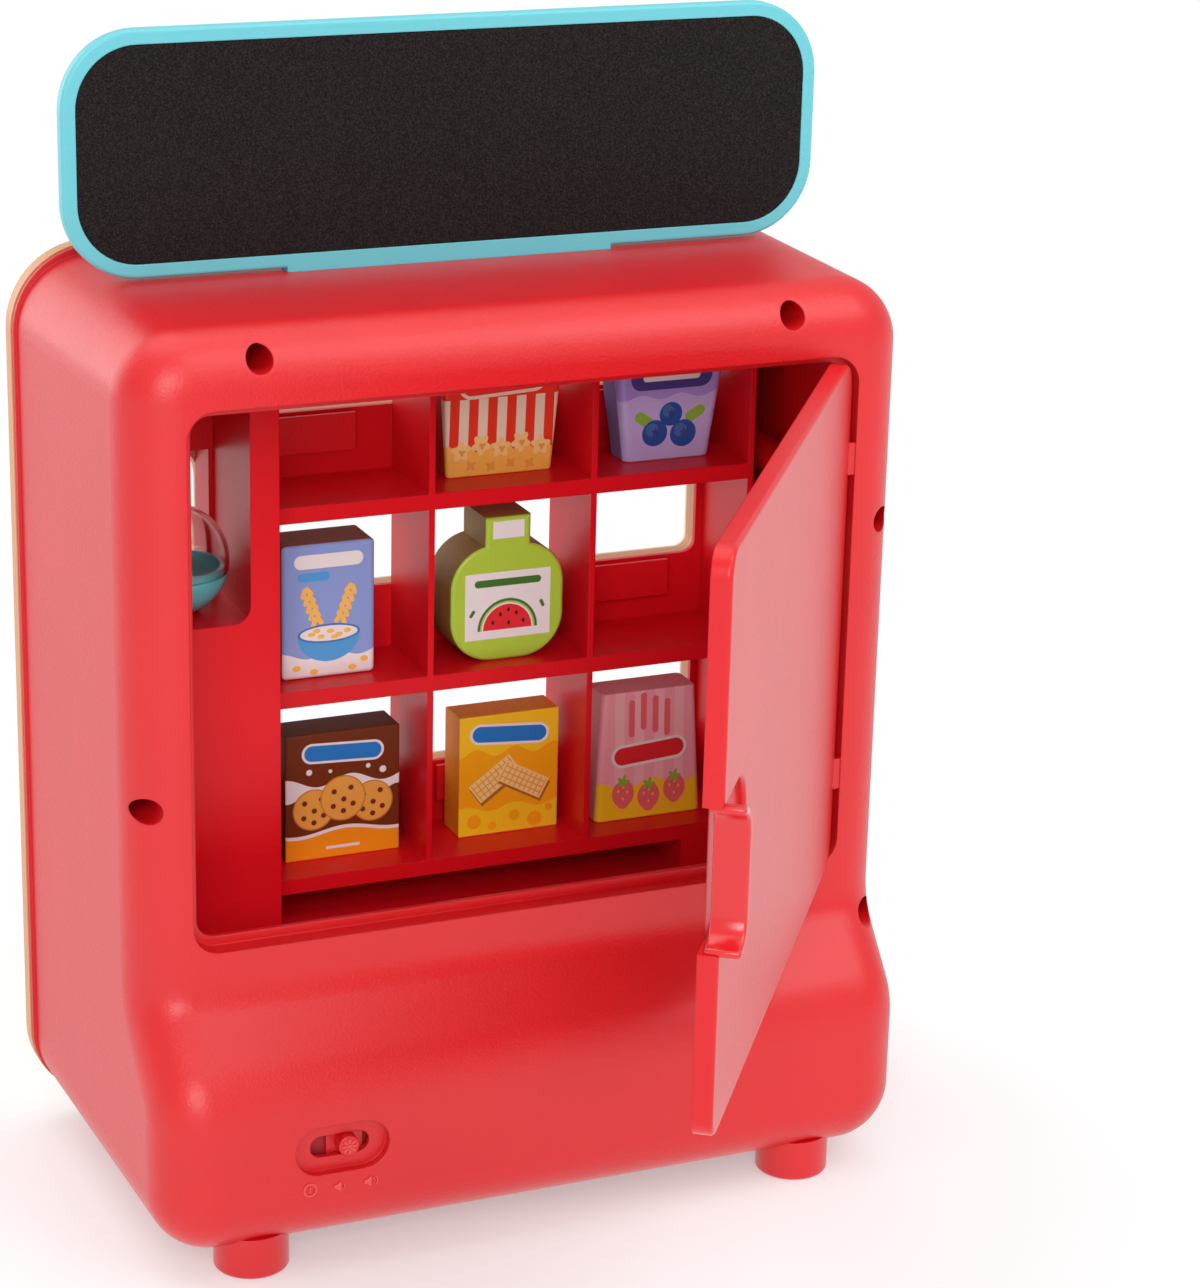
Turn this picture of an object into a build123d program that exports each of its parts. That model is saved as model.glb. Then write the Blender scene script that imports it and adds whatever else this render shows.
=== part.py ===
from build123d import *
from math import atan2, cos, radians, sin, tan
import os

os.makedirs("parts", exist_ok=True)

# Toy vending machine, in millimetres. The floor is z = 0, the front faces -Y
# and the rear, with its door, faces +Y. X = 0 is the middle of the housing.

# Housing
housing_depth = 152.0
panel_thickness = 9.0
panel_corner = 36.0
panel_overhang = 2.0
panel_rise = 4.2
panel_drop = 1.8
panel_edge_round = 1.5
wall = 3.0
front_width = 350.0
side_taper = 4.0
shell_bottom = 12.5
shell_front_top = 401.0
shell_rear_top = 398.5
front_corner = 32.0
rear_corner = 26.0
rear_round = 23.0
flange_thickness = 3.0
flange_step = 0.5
bulge_depth = 30.0
shoulder_top = 120.0
shoulder_drop = 34.0
shoulder_hollow = 18.0
shoulder_crown = 36.0

# Door and its opening in the rear wall
opening_margin = 27.5
opening_height = 230.0
opening_corner = 12.0
opening_sill = 139.5
rebate_depth = 9.0
stop_width = 4.0
stop_thickness = 2.5
rim_wall = 3.0
door_gap = 1.0
door_thickness = 8.0
door_skin = 2.4
door_edge_round = 1.8
door_open_angle = 54.3
hinge_inset_x = 4.6
hinge_inset_y = 3.4
barrel_radius = 2.9
pin_radius = 1.2
pin_clearance = 0.06
upper_hinge_joint = 177.7
lower_hinge_joint = 49.4
door_barrel_length = 21.5
shell_barrel_length = 14.0
barrel_gap = 0.4
grip_height = 57.0
grip_width = 48.0
grip_centre = 105.0
grip_corner = 17.0
grip_shallow = 2.6
grip_notch = 14.0

# Cells
cells_margin = 25.5
divider = 2.8
shelf_thickness = 7.2
shelf_skin = 2.4
lower_shelf_top = 123.2
lower_row_height = 87.8
middle_row_height = 83.8
upper_row_height = 81.0
cell_rear = 103.0
fence_thickness = 2.5
fence_height = 29.0
window_height = 43.0
window_corner = 6.0
window_side = 3.2
post_width = 30.0

# Selector buttons
cap_radius = 8.5
cap_round = 1.5
cap_stand = 3.0
cap_length = 6.5
spring_closed = 2.3
stem_radius = 3.0
button_height = 17.0
plate_rise = 2.5
button_travel = 3.0
plate_width = 37.0
plate_height = 17.0
plate_thickness = 2.0
plate_gap = 2.6
spring_radius = 5.2
spring_wire = 1.0
slide_clearance = 0.25

# Capsule column
column_margin = 19.0
column_gap = 1.5
column_width = 73.0
column_rear = 78.0
column_top = 371.0
column_wall = 2.5
niche_shift = 2.0
niche_width = 51.0
niche_corner = 8.0
niche_floor = 253.5
niche_top = 361.0
niche_floor_thickness = 3.0
capsule_radius = 24.2
capsule_foot = 8.0
capsule_split = 18.0
capsule_wall = 1.6
capsule_gap = 0.3
thread_height = 3.0
channel_half = 27.0
knob_radius = 21.0
knob_height = 14.0
knob_z = 208.0
grip_bar = 10.0
spindle_radius = 4.0
spindle_length = 14.0
crank_radius = 13.0
crank_thickness = 4.0
crank_pin_radius = 1.5
outlet_width = 54.0
outlet_height = 62.0
outlet_corner = 20.0
gate_width = 30.0
gate_rise = 14.5
gate_drop = 12.0
gate_height = 72.0
gate_thickness = 2.2
gate_setback = 28.0
yoke_play = 0.5
coin_z = 165.0
coin_plate_radius = 14.0
coin_plate_thickness = 2.0
coin_slot_height = 20.0
coin_slot_width = 3.4
return_width = 46.0
return_height = 20.0
return_z = 128.0
cup_depth = 26.0

# Blackboard
board_margin = 6.0
board_height = 102.0
board_corner = 32.0
board_thickness = 7.0
board_rim = 6.0
board_depth_y = 94.0
board_lift = 1.4
tab_width = 147.0
tab_depth = 9.0
slot_clearance = 0.6
chalk_thickness = 1.0

# Feet, screws and the electric unit
foot_radius = 16.0
foot_margin = 48.0
foot_rear_y = 9.0
foot_front_y = -128.0
screw_well_radius = 5.6
screw_shank = 1.6
screw_head = 3.4
boss_wall = 1.8
screw_top_margin = 58.5
screw_side_margin = 10.5
screw_left_z = 203.5
screw_right_high_z = 294.5
screw_right_low_z = 113.5
post_margin = 25.0
post_rear = 25.0
post_front = 135.0
screw_top_z = 388.0
floor_plate_z = 99.5
floor_plate_thickness = 2.5
switch_margin = 81.4
switch_z = 57.4
switch_width = 41.4
switch_height = 22.0
switch_recess = 4.0
slider_shift = 3.1
slider_radius = 4.6
slider_slot_width = 26.0
slider_slot_height = 9.6
speaker_radius = 22.0
battery_length = 51.0
battery_radius = 7.1

door_rim = 2.4
hinge_corner = 16.0
door_rib = 1.6
return_corner = 6.0
grille_hole = 1.6
grille_pitch = 6.0
screw_bite = 6.0
screw_seat = 20.0
screw_head_height = 2.5
sound_post_radius = 2.5
board_edge_round = 1.5
chalk_gap = 0.2
foot_overlap = 6.0
foot_round = 2.0
slider_sink = 0.5
slider_round = 0.8
slider_plate = 1.5
slider_plate_width = 16.0
slider_plate_height = 14.0
switch_body_width = 34.0
switch_body_height = 16.0
switch_body_depth = 9.0
sound_board_thickness = 1.6
chip_height = 2.0
speaker_flange = 3.0
magnet_radius = 12.0
magnet_depth = 5.0
cover_shank = 1.4
cover_head = 3.0
cover_head_height = 1.8
cover_screw_length = 9.0
battery_nub = 1.4
battery_nub_radius = 2.6
knob_base = 6.0
knob_round = 1.5
crank_pin_over = 1.0
gate_corner = 3.0
cup_wall = 2.0

# Worked-out places
panel_width = front_width + 2 * panel_overhang
panel_lift = shell_bottom - panel_drop
panel_height = shell_front_top + panel_rise - panel_lift
rear_width = front_width - 2 * side_taper
opening_width = front_width - 2 * opening_margin
board_width = front_width - 2 * board_margin
foot_x = front_width / 2 - foot_margin
screw_top_x = front_width / 2 - screw_top_margin
screw_side_x = front_width / 2 - screw_side_margin
switch_x = front_width / 2 - switch_margin
slider_x = switch_x - slider_shift
slider_z = switch_z
front_reach = housing_depth + panel_thickness + knob_height
door_width = opening_width - 2 * door_gap
door_height = opening_height - 2 * door_gap
hinge_x = -opening_width / 2 + hinge_inset_x
door_length = opening_width / 2 - door_gap - hinge_x
door_face = hinge_inset_y - 0.3
tip_out = (door_length - door_edge_round) * sin(radians(door_open_angle))
tip_side = (door_face - door_edge_round) * cos(radians(door_open_angle))
door_reach = tip_out + tip_side + door_edge_round - hinge_inset_y
rear_y = (front_reach - door_reach) / 2
bulge_y = rear_y + bulge_depth
panel_back_y = rear_y - housing_depth
panel_front_y = panel_back_y - panel_thickness
flange_y = panel_back_y + flange_thickness
hinge_y = rear_y - hinge_inset_y
opening_z = opening_sill + opening_height / 2
panel_z = panel_lift + panel_height / 2
insert_front_y = panel_back_y
fence_y = insert_front_y + fence_thickness
cell_rear_y = rear_y - cell_rear
column_front_x = front_width / 2 - column_margin - column_width
column_x = column_front_x + column_width / 2
capsule_x = column_x + niche_shift
cells_right = cells_margin - front_width / 2
cells_left = column_front_x - column_gap
floor_top = floor_plate_z + floor_plate_thickness
cell_pitch = (cells_left - cells_right) / 3
cells_width = cells_left - cells_right + divider
cells_x = (cells_left + cells_right) / 2
window_width = cells_left - cells_right - divider - 2 * window_side
middle_shelf_top = lower_shelf_top + lower_row_height
upper_shelf_top = middle_shelf_top + middle_row_height
cells_top = upper_shelf_top + upper_row_height
shelf_tops = (upper_shelf_top, middle_shelf_top, lower_shelf_top)
column_centres = (cells_right + cell_pitch / 2, cells_x, cells_left - cell_pitch / 2)
button_points = [(x, top + button_height) for top in shelf_tops for x in column_centres]
plate_y = fence_y + plate_gap
cap_rear_y = panel_front_y - cap_stand + cap_length
column_rear_y = rear_y - column_rear
board_y = rear_y - board_depth_y
shoulder_angle = atan2(bulge_depth, shoulder_drop)


def upright(y):
    """Sketch plane standing at depth y: x to the right, y up, facing the front."""
    return Plane.XZ.offset(-y)


def save(part, name):
    part.label = name
    export_step(part, "parts/" + name + ".step")


def tub(inset):
    """Outer form of the rear housing, or with an inset the form of its hollow."""
    front_height = shell_front_top - shell_bottom - 2 * inset
    back_height = shell_rear_top - shell_bottom - 2 * inset
    side_shift = inset * tan(shoulder_angle / 2)
    with BuildPart() as body:
        with BuildSketch(upright(flange_y)):
            with Locations((0, shell_bottom + inset + front_height / 2)):
                RectangleRounded(front_width - 2 * inset, front_height, front_corner - inset)
        with BuildSketch(upright(bulge_y)):
            with Locations((0, shell_bottom + inset + back_height / 2)):
                RectangleRounded(rear_width - 2 * inset, back_height, rear_corner - inset)
        loft()
        with BuildSketch(Plane.YZ) as side:
            with BuildLine():
                Polyline(
                    (flange_y - 1, shell_bottom - 10),
                    (bulge_y - inset, shell_bottom - 10),
                    (bulge_y - inset, shoulder_top - shoulder_drop - side_shift),
                    (rear_y - inset, shoulder_top - side_shift),
                    (rear_y - inset, shell_front_top + 10),
                    (flange_y - 1, shell_front_top + 10),
                    close=True,
                )
            make_face()
            crown_z = shoulder_top - shoulder_drop - side_shift
            hollow_z = shoulder_top - side_shift
            fillet(side.vertices().filter_by(lambda v: abs(v.Y - crown_z) < 0.01), shoulder_crown - inset)
            fillet(side.vertices().filter_by(lambda v: abs(v.Y - hollow_z) < 0.01), shoulder_hollow + inset)
        extrude(amount=front_width, both=True, mode=Mode.INTERSECT)
        rim = body.edges().filter_by(lambda e: e.center().Y > rear_y - 20)
        ends = rim.filter_by(
            lambda e: abs(e.tangent_at(0.5).X) < 0.99
            or e.center().Z > shell_rear_top - 20
            or e.center().Z < shell_bottom + 20
        )
        fillet(ends, rear_round - inset)
    return body.part


def top_at(y):
    """Height of the housing's top face, which falls a little towards the rear."""
    share = (y - flange_y) / (bulge_y - flange_y)
    return shell_front_top + (shell_rear_top - shell_front_top) * share


outer_form = tub(0)
inner_form = tub(wall)

well_points = [
    (screw_top_x, screw_top_z),
    (-screw_top_x, screw_top_z),
    (screw_side_x, screw_left_z),
    (-screw_side_x, screw_right_high_z),
    (-screw_side_x, screw_right_low_z),
]
foot_points = [
    (foot_x, rear_y + foot_rear_y),
    (-foot_x, rear_y + foot_rear_y),
    (foot_x, rear_y + foot_front_y),
    (-foot_x, rear_y + foot_front_y),
]
foot_names = ("foot_rear_left", "foot_rear_right", "foot_front_left", "foot_front_right")
foot_pin_radius = 4.0
foot_pin_height = wall + 2.0
post_x = front_width / 2 - post_margin
post_points = [(side * post_x, rear_y - back) for side in (-1, 1) for back in (post_rear, post_front)]
post_radius = 4.0
board_bottom = top_at(board_y) + board_lift
tab_bottom = top_at(board_y) - tab_depth
battery_x = -30.0
battery_y = rear_y - 45.0
battery_count = 3
battery_pitch = 2 * battery_radius + 1.4
battery_bay_length = battery_length + 16
battery_bay_width = battery_count * battery_pitch + 4
cover_gap = 0.3
tray_wall = 2.0
tray_ledge = 1.5
tray_boss = 8.0
battery_room = 0.5
sound_x = 50.0
sound_y = rear_y - 70.0
sound_length = 60.0
sound_width = 40.0
sound_post = 8.0
speaker_x = -60.0
speaker_z = 58.0
speaker_depth = 14.0


def leaf(depth):
    """Plane parallel to the opened door, at a depth out from the hinge line."""
    turn = radians(door_open_angle)
    return Plane(
        origin=(hinge_x - depth * sin(turn), hinge_y + depth * cos(turn), 0),
        x_dir=(cos(turn), sin(turn), 0),
        z_dir=(sin(turn), -cos(turn), 0),
    )


def block(name, x, rear, bottom, width, depth, height, rounding):
    """Wooden snack block standing on a shelf, with its rear face at the given depth."""
    with BuildPart() as piece:
        with BuildSketch(upright(rear)):
            with Locations((x, bottom + height / 2)):
                Rectangle(width, height)
        extrude(amount=depth)
        fillet(piece.edges(), rounding)
    save(piece.part, name)


upper_joint_z = opening_sill + upper_hinge_joint
lower_joint_z = opening_sill + lower_hinge_joint
ear_bottoms = (upper_joint_z + barrel_gap / 2, lower_joint_z - barrel_gap / 2 - shell_barrel_length)
barrel_bottoms = (upper_joint_z - barrel_gap / 2 - door_barrel_length, lower_joint_z + barrel_gap / 2)
pin_bottoms = (barrel_bottoms[0], ear_bottoms[1])
pin_length = door_barrel_length + barrel_gap + shell_barrel_length
capsule_y = rear_y - 106.0
channel_front_y = capsule_y - channel_half
channel_rear_y = column_rear_y - column_wall
gate_y = capsule_y - gate_setback
crank_front_y = panel_front_y + spindle_length
crank_reach = gate_drop / 2 / sin(radians(45))
outlet_z = niche_floor + outlet_height / 2
switch_back_y = bulge_y - switch_recess - wall

# Bosses that carry the screws from the wells to the front panel
with BuildPart() as bosses:
    with BuildSketch(upright(bulge_y)):
        with Locations(*well_points):
            Circle(screw_well_radius + boss_wall)
    extrude(amount=bulge_y - flange_y)
    add(outer_form, mode=Mode.INTERSECT)

# Rear housing: one moulding with the door opening, its rim and the shoulder
with BuildPart() as rear_shell:
    add(outer_form)
    add(inner_form, mode=Mode.SUBTRACT)
    add(bosses.part)
    with BuildSketch(upright(flange_y)):
        with Locations((0, panel_z)):
            RectangleRounded(
                panel_width - 2 * flange_step,
                panel_height - 2 * flange_step,
                panel_corner - flange_step,
            )
        with Locations((0, (shell_front_top + shell_bottom) / 2)):
            RectangleRounded(
                front_width - 2 * wall,
                shell_front_top - shell_bottom - 2 * wall,
                front_corner - wall,
                mode=Mode.SUBTRACT,
            )
        with Locations(*well_points):
            Circle(screw_well_radius + boss_wall)
    extrude(amount=flange_thickness)
    with BuildSketch(upright(rear_y - wall / 2)):
        with Locations((0, opening_z)):
            RectangleRounded(
                opening_width + 2 * rim_wall,
                opening_height + 2 * rim_wall,
                opening_corner + rim_wall,
            )
    extrude(amount=rebate_depth + stop_thickness - wall / 2)
    with BuildSketch(upright(rear_y + 1)):
        with Locations((0, opening_z)):
            RectangleRounded(opening_width, opening_height, opening_corner)
    extrude(amount=rebate_depth + 1, mode=Mode.SUBTRACT)
    with BuildSketch(upright(rear_y)):
        with Locations((0, opening_z)):
            RectangleRounded(
                opening_width - 2 * stop_width,
                opening_height - 2 * stop_width,
                opening_corner - stop_width,
            )
    extrude(amount=rebate_depth + stop_thickness + 1, mode=Mode.SUBTRACT)
    with BuildSketch(upright(bulge_y)):
        with Locations(*well_points):
            Circle(screw_well_radius)
    extrude(amount=bulge_y - flange_y - screw_seat, mode=Mode.SUBTRACT)
    with BuildSketch(upright(bulge_y)):
        with Locations(*well_points):
            Circle(screw_shank + slide_clearance)
    extrude(amount=bulge_y - panel_back_y + 1, mode=Mode.SUBTRACT)
    # hinge ears on the side of the opening
    for bottom in ear_bottoms:
        with BuildSketch(Plane.XY.offset(bottom)):
            with Locations((hinge_x, hinge_y)):
                Circle(barrel_radius)
            with Locations((hinge_x - hinge_inset_x / 2 - rim_wall / 4, hinge_y)):
                Rectangle(hinge_inset_x + rim_wall / 2, 2 * barrel_radius)
            with Locations((hinge_x, hinge_y)):
                Circle(pin_radius + pin_clearance, mode=Mode.SUBTRACT)
        extrude(amount=shell_barrel_length)
    # pocket for the blackboard's tab
    with BuildSketch(Plane.XY.offset(tab_bottom - wall)):
        with Locations((0, board_y - board_thickness / 2)):
            Rectangle(
                tab_width + 2 * slot_clearance + 2 * wall,
                board_thickness + 2 * slot_clearance + 2 * wall,
            )
    extrude(amount=tab_depth + wall / 2)
    with BuildSketch(Plane.XY.offset(tab_bottom - slide_clearance)):
        with Locations((0, board_y - board_thickness / 2)):
            RectangleRounded(
                tab_width + 2 * slot_clearance,
                board_thickness + 2 * slot_clearance,
                2,
            )
    extrude(amount=tab_depth + 10, mode=Mode.SUBTRACT)
    # recess of the power switch
    with BuildSketch(upright(bulge_y - wall / 2)):
        with Locations((switch_x, switch_z)):
            SlotOverall(switch_width + 2 * wall, switch_height + 2 * wall)
    extrude(amount=switch_recess + wall / 2)
    with BuildSketch(upright(bulge_y + 1)):
        with Locations((switch_x, switch_z)):
            SlotOverall(switch_width, switch_height)
    extrude(amount=switch_recess + 1, mode=Mode.SUBTRACT)
    with BuildSketch(upright(bulge_y)):
        with Locations((switch_x, switch_z)):
            SlotOverall(slider_slot_width, slider_slot_height)
    extrude(amount=switch_recess + wall + 1, mode=Mode.SUBTRACT)
    # battery bay, foot holes and the posts inside
    with BuildSketch(Plane.XY.offset(shell_bottom - 1)):
        with Locations((battery_x, battery_y)):
            RectangleRounded(battery_bay_length, battery_bay_width, 3)
        with Locations(*foot_points):
            Circle(foot_pin_radius)
    extrude(amount=foot_pin_height + 14, mode=Mode.SUBTRACT)
    with BuildSketch(Plane.XY.offset(shell_bottom + wall / 2)):
        with Locations(*post_points):
            Circle(post_radius)
    extrude(amount=floor_plate_z - shell_bottom - wall / 2)
    with BuildSketch(Plane.XY.offset(shell_bottom + wall / 2)):
        with Locations((sound_x, sound_y)):
            with GridLocations(sound_length - 8, sound_width - 8, 2, 2):
                Circle(sound_post_radius)
    extrude(amount=sound_post + wall / 2)
save(rear_shell.part, "rear_shell")

# Front panel of wood, with the windows, the button holes and the capsule outlet
with BuildPart() as front_panel:
    with BuildSketch(upright(panel_back_y)):
        with Locations((0, panel_z)):
            RectangleRounded(panel_width, panel_height, panel_corner)
    extrude(amount=panel_thickness)
    fillet(front_panel.edges().filter_by(lambda e: e.center().Y < panel_front_y + 0.1), panel_edge_round)
    with BuildSketch(upright(panel_back_y)):
        for top in shelf_tops:
            with Locations((cells_x, top + fence_height + window_height / 2)):
                RectangleRounded(window_width, window_height, window_corner)
        with Locations(*button_points):
            Circle(cap_radius + slide_clearance)
        with Locations((capsule_x, outlet_z)):
            RectangleRounded(outlet_width, outlet_height, outlet_corner)
        with Locations((capsule_x, knob_z)):
            Circle(spindle_radius + pin_clearance)
        with Locations((capsule_x, coin_z)):
            Rectangle(coin_slot_width, coin_slot_height)
        with Locations((capsule_x, return_z)):
            RectangleRounded(return_width, return_height, return_corner)
        with Locations((speaker_x, speaker_z)):
            Circle(grille_hole)
            for ring in (1, 2):
                with PolarLocations(ring * grille_pitch, ring * 6):
                    Circle(grille_hole)
    extrude(amount=panel_thickness, mode=Mode.SUBTRACT)
    with BuildSketch(upright(panel_back_y)):
        with Locations(*well_points):
            Circle(screw_shank + pin_clearance)
    extrude(amount=screw_bite, mode=Mode.SUBTRACT)
save(front_panel.part, "front_panel")

# Nine cells in one moulding: front wall with windows, dividers, shelves with lips
with BuildPart() as cell_insert:
    with BuildSketch(upright(fence_y)):
        with Locations((cells_x, (floor_top + cells_top + shelf_skin) / 2)):
            Rectangle(cells_width, cells_top + shelf_skin - floor_top)
        for top in shelf_tops:
            with Locations((cells_x, top + fence_height + window_height / 2)):
                RectangleRounded(window_width, window_height, window_corner, mode=Mode.SUBTRACT)
        with Locations(*button_points):
            Circle(stem_radius + slide_clearance, mode=Mode.SUBTRACT)
    extrude(amount=fence_thickness)
    with BuildSketch(upright(cell_rear_y)):
        for number in range(4):
            with Locations((cells_right + number * cell_pitch, (lower_shelf_top + cells_top) / 2)):
                Rectangle(divider, cells_top - lower_shelf_top)
        for top in (*shelf_tops, cells_top + shelf_skin):
            with Locations((cells_x, top - shelf_skin / 2)):
                Rectangle(cells_width, shelf_skin)
        with Locations((cells_left, (floor_top + lower_shelf_top) / 2)):
            Rectangle(divider, lower_shelf_top - floor_top)
        with Locations((cells_right + post_width - divider, (floor_top + lower_shelf_top) / 2)):
            Rectangle(divider, lower_shelf_top - floor_top)
    extrude(amount=cell_rear_y - fence_y)
    with BuildSketch(upright(cell_rear_y)):
        for top in shelf_tops:
            with Locations((cells_x, top - shelf_thickness / 2)):
                Rectangle(cells_width, shelf_thickness)
        with Locations((cells_right - divider / 2 + post_width / 2, (floor_top + lower_shelf_top) / 2)):
            Rectangle(post_width, lower_shelf_top - floor_top)
    extrude(amount=shelf_skin)
save(cell_insert.part, "cell_insert")

# Nine selector buttons: cap in the front panel, stem and the plate in the cell
for number, (centre_x, centre_z) in enumerate(button_points, start=1):
    with BuildPart() as button:
        with BuildSketch(upright(cap_rear_y)):
            with Locations((centre_x, centre_z)):
                Circle(cap_radius)
        extrude(amount=cap_length)
        fillet(button.edges().filter_by(GeomType.CIRCLE).group_by(Axis.Y)[0], cap_round)
        with BuildSketch(upright(plate_y + plate_thickness)):
            with Locations((centre_x, centre_z + plate_rise)):
                Rectangle(plate_width, plate_height)
        extrude(amount=plate_thickness)
        with BuildSketch(upright(plate_y)):
            with Locations((centre_x, centre_z)):
                Circle(stem_radius)
        extrude(amount=plate_y - cap_rear_y)
    save(button.part, "selector_button_" + str(number))

# Return springs of the buttons, drawn closed
with BuildPart() as selector_springs:
    with BuildSketch(upright(panel_back_y)):
        with Locations(*button_points):
            Circle(spring_radius)
        with Locations(*button_points):
            Circle(spring_radius - spring_wire, mode=Mode.SUBTRACT)
    extrude(amount=spring_closed)
save(selector_springs.part, "selector_springs")

# Column beside the cells: capsule channel with its niche above, coin chamber below
with BuildPart() as capsule_column:
    with BuildSketch(Plane.XY.offset(floor_top)):
        with Locations((column_x, (panel_back_y + column_rear_y) / 2)):
            Rectangle(column_width, column_rear_y - panel_back_y)
    extrude(amount=column_top - floor_top)
    with BuildSketch(Plane.XY.offset(niche_floor)):
        with Locations((capsule_x, (channel_front_y + channel_rear_y) / 2)):
            Rectangle(2 * channel_half, channel_rear_y - channel_front_y)
    extrude(amount=niche_top - niche_floor, mode=Mode.SUBTRACT)
    with BuildSketch(upright(column_rear_y)):
        with Locations((capsule_x, (niche_floor + niche_top) / 2)):
            RectangleRounded(niche_width, niche_top - niche_floor, niche_corner)
    extrude(amount=column_wall + slide_clearance, mode=Mode.SUBTRACT)
    with BuildSketch(upright(capsule_y)):
        with Locations((capsule_x, outlet_z)):
            Rectangle(outlet_width - 4, outlet_height)
    extrude(amount=capsule_y - panel_back_y, mode=Mode.SUBTRACT)
    with BuildSketch(upright(column_rear_y - column_wall)):
        with Locations((column_x, (floor_top + column_wall + niche_floor - niche_floor_thickness) / 2)):
            Rectangle(
                column_width - 2 * column_wall,
                niche_floor - niche_floor_thickness - floor_top - column_wall,
            )
    extrude(amount=column_rear_y - column_wall - panel_back_y, mode=Mode.SUBTRACT)
    with BuildSketch(Plane.XY.offset(niche_floor - niche_floor_thickness)):
        with Locations((capsule_x, gate_y - gate_thickness / 2)):
            Rectangle(gate_width + 2 * slide_clearance, gate_thickness + 2 * slide_clearance)
    extrude(amount=niche_floor_thickness, mode=Mode.SUBTRACT)
save(capsule_column.part, "capsule_column")

# Floor under the cells and the column, on the posts of the housing
with BuildPart() as inner_floor:
    with BuildSketch(Plane.XY.offset(floor_plate_z)):
        with Locations((0, (panel_back_y + bulge_y) / 2)):
            Rectangle(front_width, bulge_y - panel_back_y)
    extrude(amount=floor_plate_thickness)
    add(tub(wall + slide_clearance), mode=Mode.INTERSECT)
save(inner_floor.part, "inner_floor")

# Door leaf with its rim, ribs, finger scoop and hinge barrels, standing open
leaf_turn = radians(door_open_angle)
grip_z = opening_sill + grip_centre
grip_start = door_length - grip_width
with BuildPart() as scoop:
    with BuildSketch(leaf(door_face + 1)) as outline:
        with Locations((grip_start + grip_width / 2 + 5, grip_z)):
            Rectangle(grip_width + 10, grip_height)
        fillet(outline.vertices().sort_by(Axis.X)[:2], grip_corner)
    extrude(amount=door_thickness + 2)
    with BuildSketch(
        Plane(origin=(hinge_x, hinge_y, grip_z), x_dir=(cos(leaf_turn), sin(leaf_turn), 0), z_dir=(0, 0, 1))
    ):
        with BuildLine():
            Polyline(
                (grip_start - 1, door_face + 2),
                (grip_start - 1, door_face - grip_shallow),
                (grip_start, door_face - grip_shallow),
                (door_length - grip_notch, door_face - door_thickness),
                (door_length - grip_notch + 1, door_face - door_thickness - 2),
                (door_length + 11, door_face - door_thickness - 2),
                (door_length + 11, door_face + 2),
                close=True,
            )
        make_face()
    extrude(amount=grip_height, both=True, mode=Mode.INTERSECT)
with BuildPart() as door:
    with BuildSketch(leaf(door_face)) as outline:
        with Locations((door_length / 2, opening_z)):
            Rectangle(door_length, door_height)
        fillet(outline.vertices().sort_by(Axis.X)[:2], hinge_corner)
        fillet(outline.vertices().sort_by(Axis.X)[-2:], opening_corner - door_gap)
    extrude(amount=door_thickness)
    add(scoop.part, mode=Mode.SUBTRACT)
    outward = Axis((hinge_x, hinge_y, 0), (-sin(leaf_turn), cos(leaf_turn), 0))
    fillet(door.faces().sort_by(outward)[-1].edges(), door_edge_round)
    with BuildSketch(leaf(door_face - door_thickness)):
        with Locations((door_length / 2, opening_z)):
            RectangleRounded(door_length - 2 * door_rim, door_height - 2 * door_rim, opening_corner - door_rim)
        with Locations((door_length / 2, opening_z)):
            with GridLocations(door_length / 4, 1, 3, 1):
                Rectangle(door_rib, door_height, mode=Mode.SUBTRACT)
            with GridLocations(1, door_height / 3, 1, 2):
                Rectangle(door_length, door_rib, mode=Mode.SUBTRACT)
        with Locations((door_length - (grip_width + door_rim) / 2, grip_z)):
            Rectangle(grip_width + door_rim, grip_height + 2 * door_rim, mode=Mode.SUBTRACT)
    extrude(amount=door_skin - door_thickness, mode=Mode.SUBTRACT)
    for bottom in ear_bottoms:
        with BuildSketch(leaf(door_face + 1)):
            with Locations(((barrel_radius + barrel_gap - 1) / 2, bottom + shell_barrel_length / 2)):
                Rectangle(barrel_radius + barrel_gap + 1, shell_barrel_length + 2 * barrel_gap)
        extrude(amount=door_thickness + 2, mode=Mode.SUBTRACT)
    for bottom in barrel_bottoms:
        with BuildSketch(Plane.XY.offset(bottom)):
            with Locations((hinge_x, hinge_y)):
                Circle(barrel_radius)
        extrude(amount=door_barrel_length)
        with BuildSketch(Plane.XY.offset(bottom)):
            with Locations((hinge_x, hinge_y)):
                Circle(pin_radius + pin_clearance)
        extrude(amount=door_barrel_length, mode=Mode.SUBTRACT)
save(door.part, "door")

with BuildPart() as door_pins:
    for bottom in pin_bottoms:
        with BuildSketch(Plane.XY.offset(bottom)):
            with Locations((hinge_x, hinge_y)):
                Circle(pin_radius)
        extrude(amount=pin_length)
save(door_pins.part, "door_pins")

# Blackboard: a rimmed wooden plate whose tab stands in the slot of the top
with BuildPart() as board_frame:
    with BuildSketch(upright(board_y)):
        with Locations((0, board_bottom + board_height / 2)):
            RectangleRounded(board_width, board_height, board_corner)
    extrude(amount=board_thickness)
    fillet(board_frame.edges().filter_by(Axis.Y, reverse=True), board_edge_round)
    with BuildSketch(upright(board_y)):
        with Locations((0, (tab_bottom + board_bottom + board_edge_round + 1) / 2)):
            Rectangle(tab_width, board_bottom + board_edge_round + 1 - tab_bottom)
    extrude(amount=board_thickness)
    with BuildSketch(upright(board_y)):
        with Locations((0, board_bottom + board_height / 2)):
            RectangleRounded(board_width - 2 * board_rim, board_height - 2 * board_rim, board_corner - board_rim)
    extrude(amount=chalk_thickness, mode=Mode.SUBTRACT)
save(board_frame.part, "board_frame")

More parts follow.
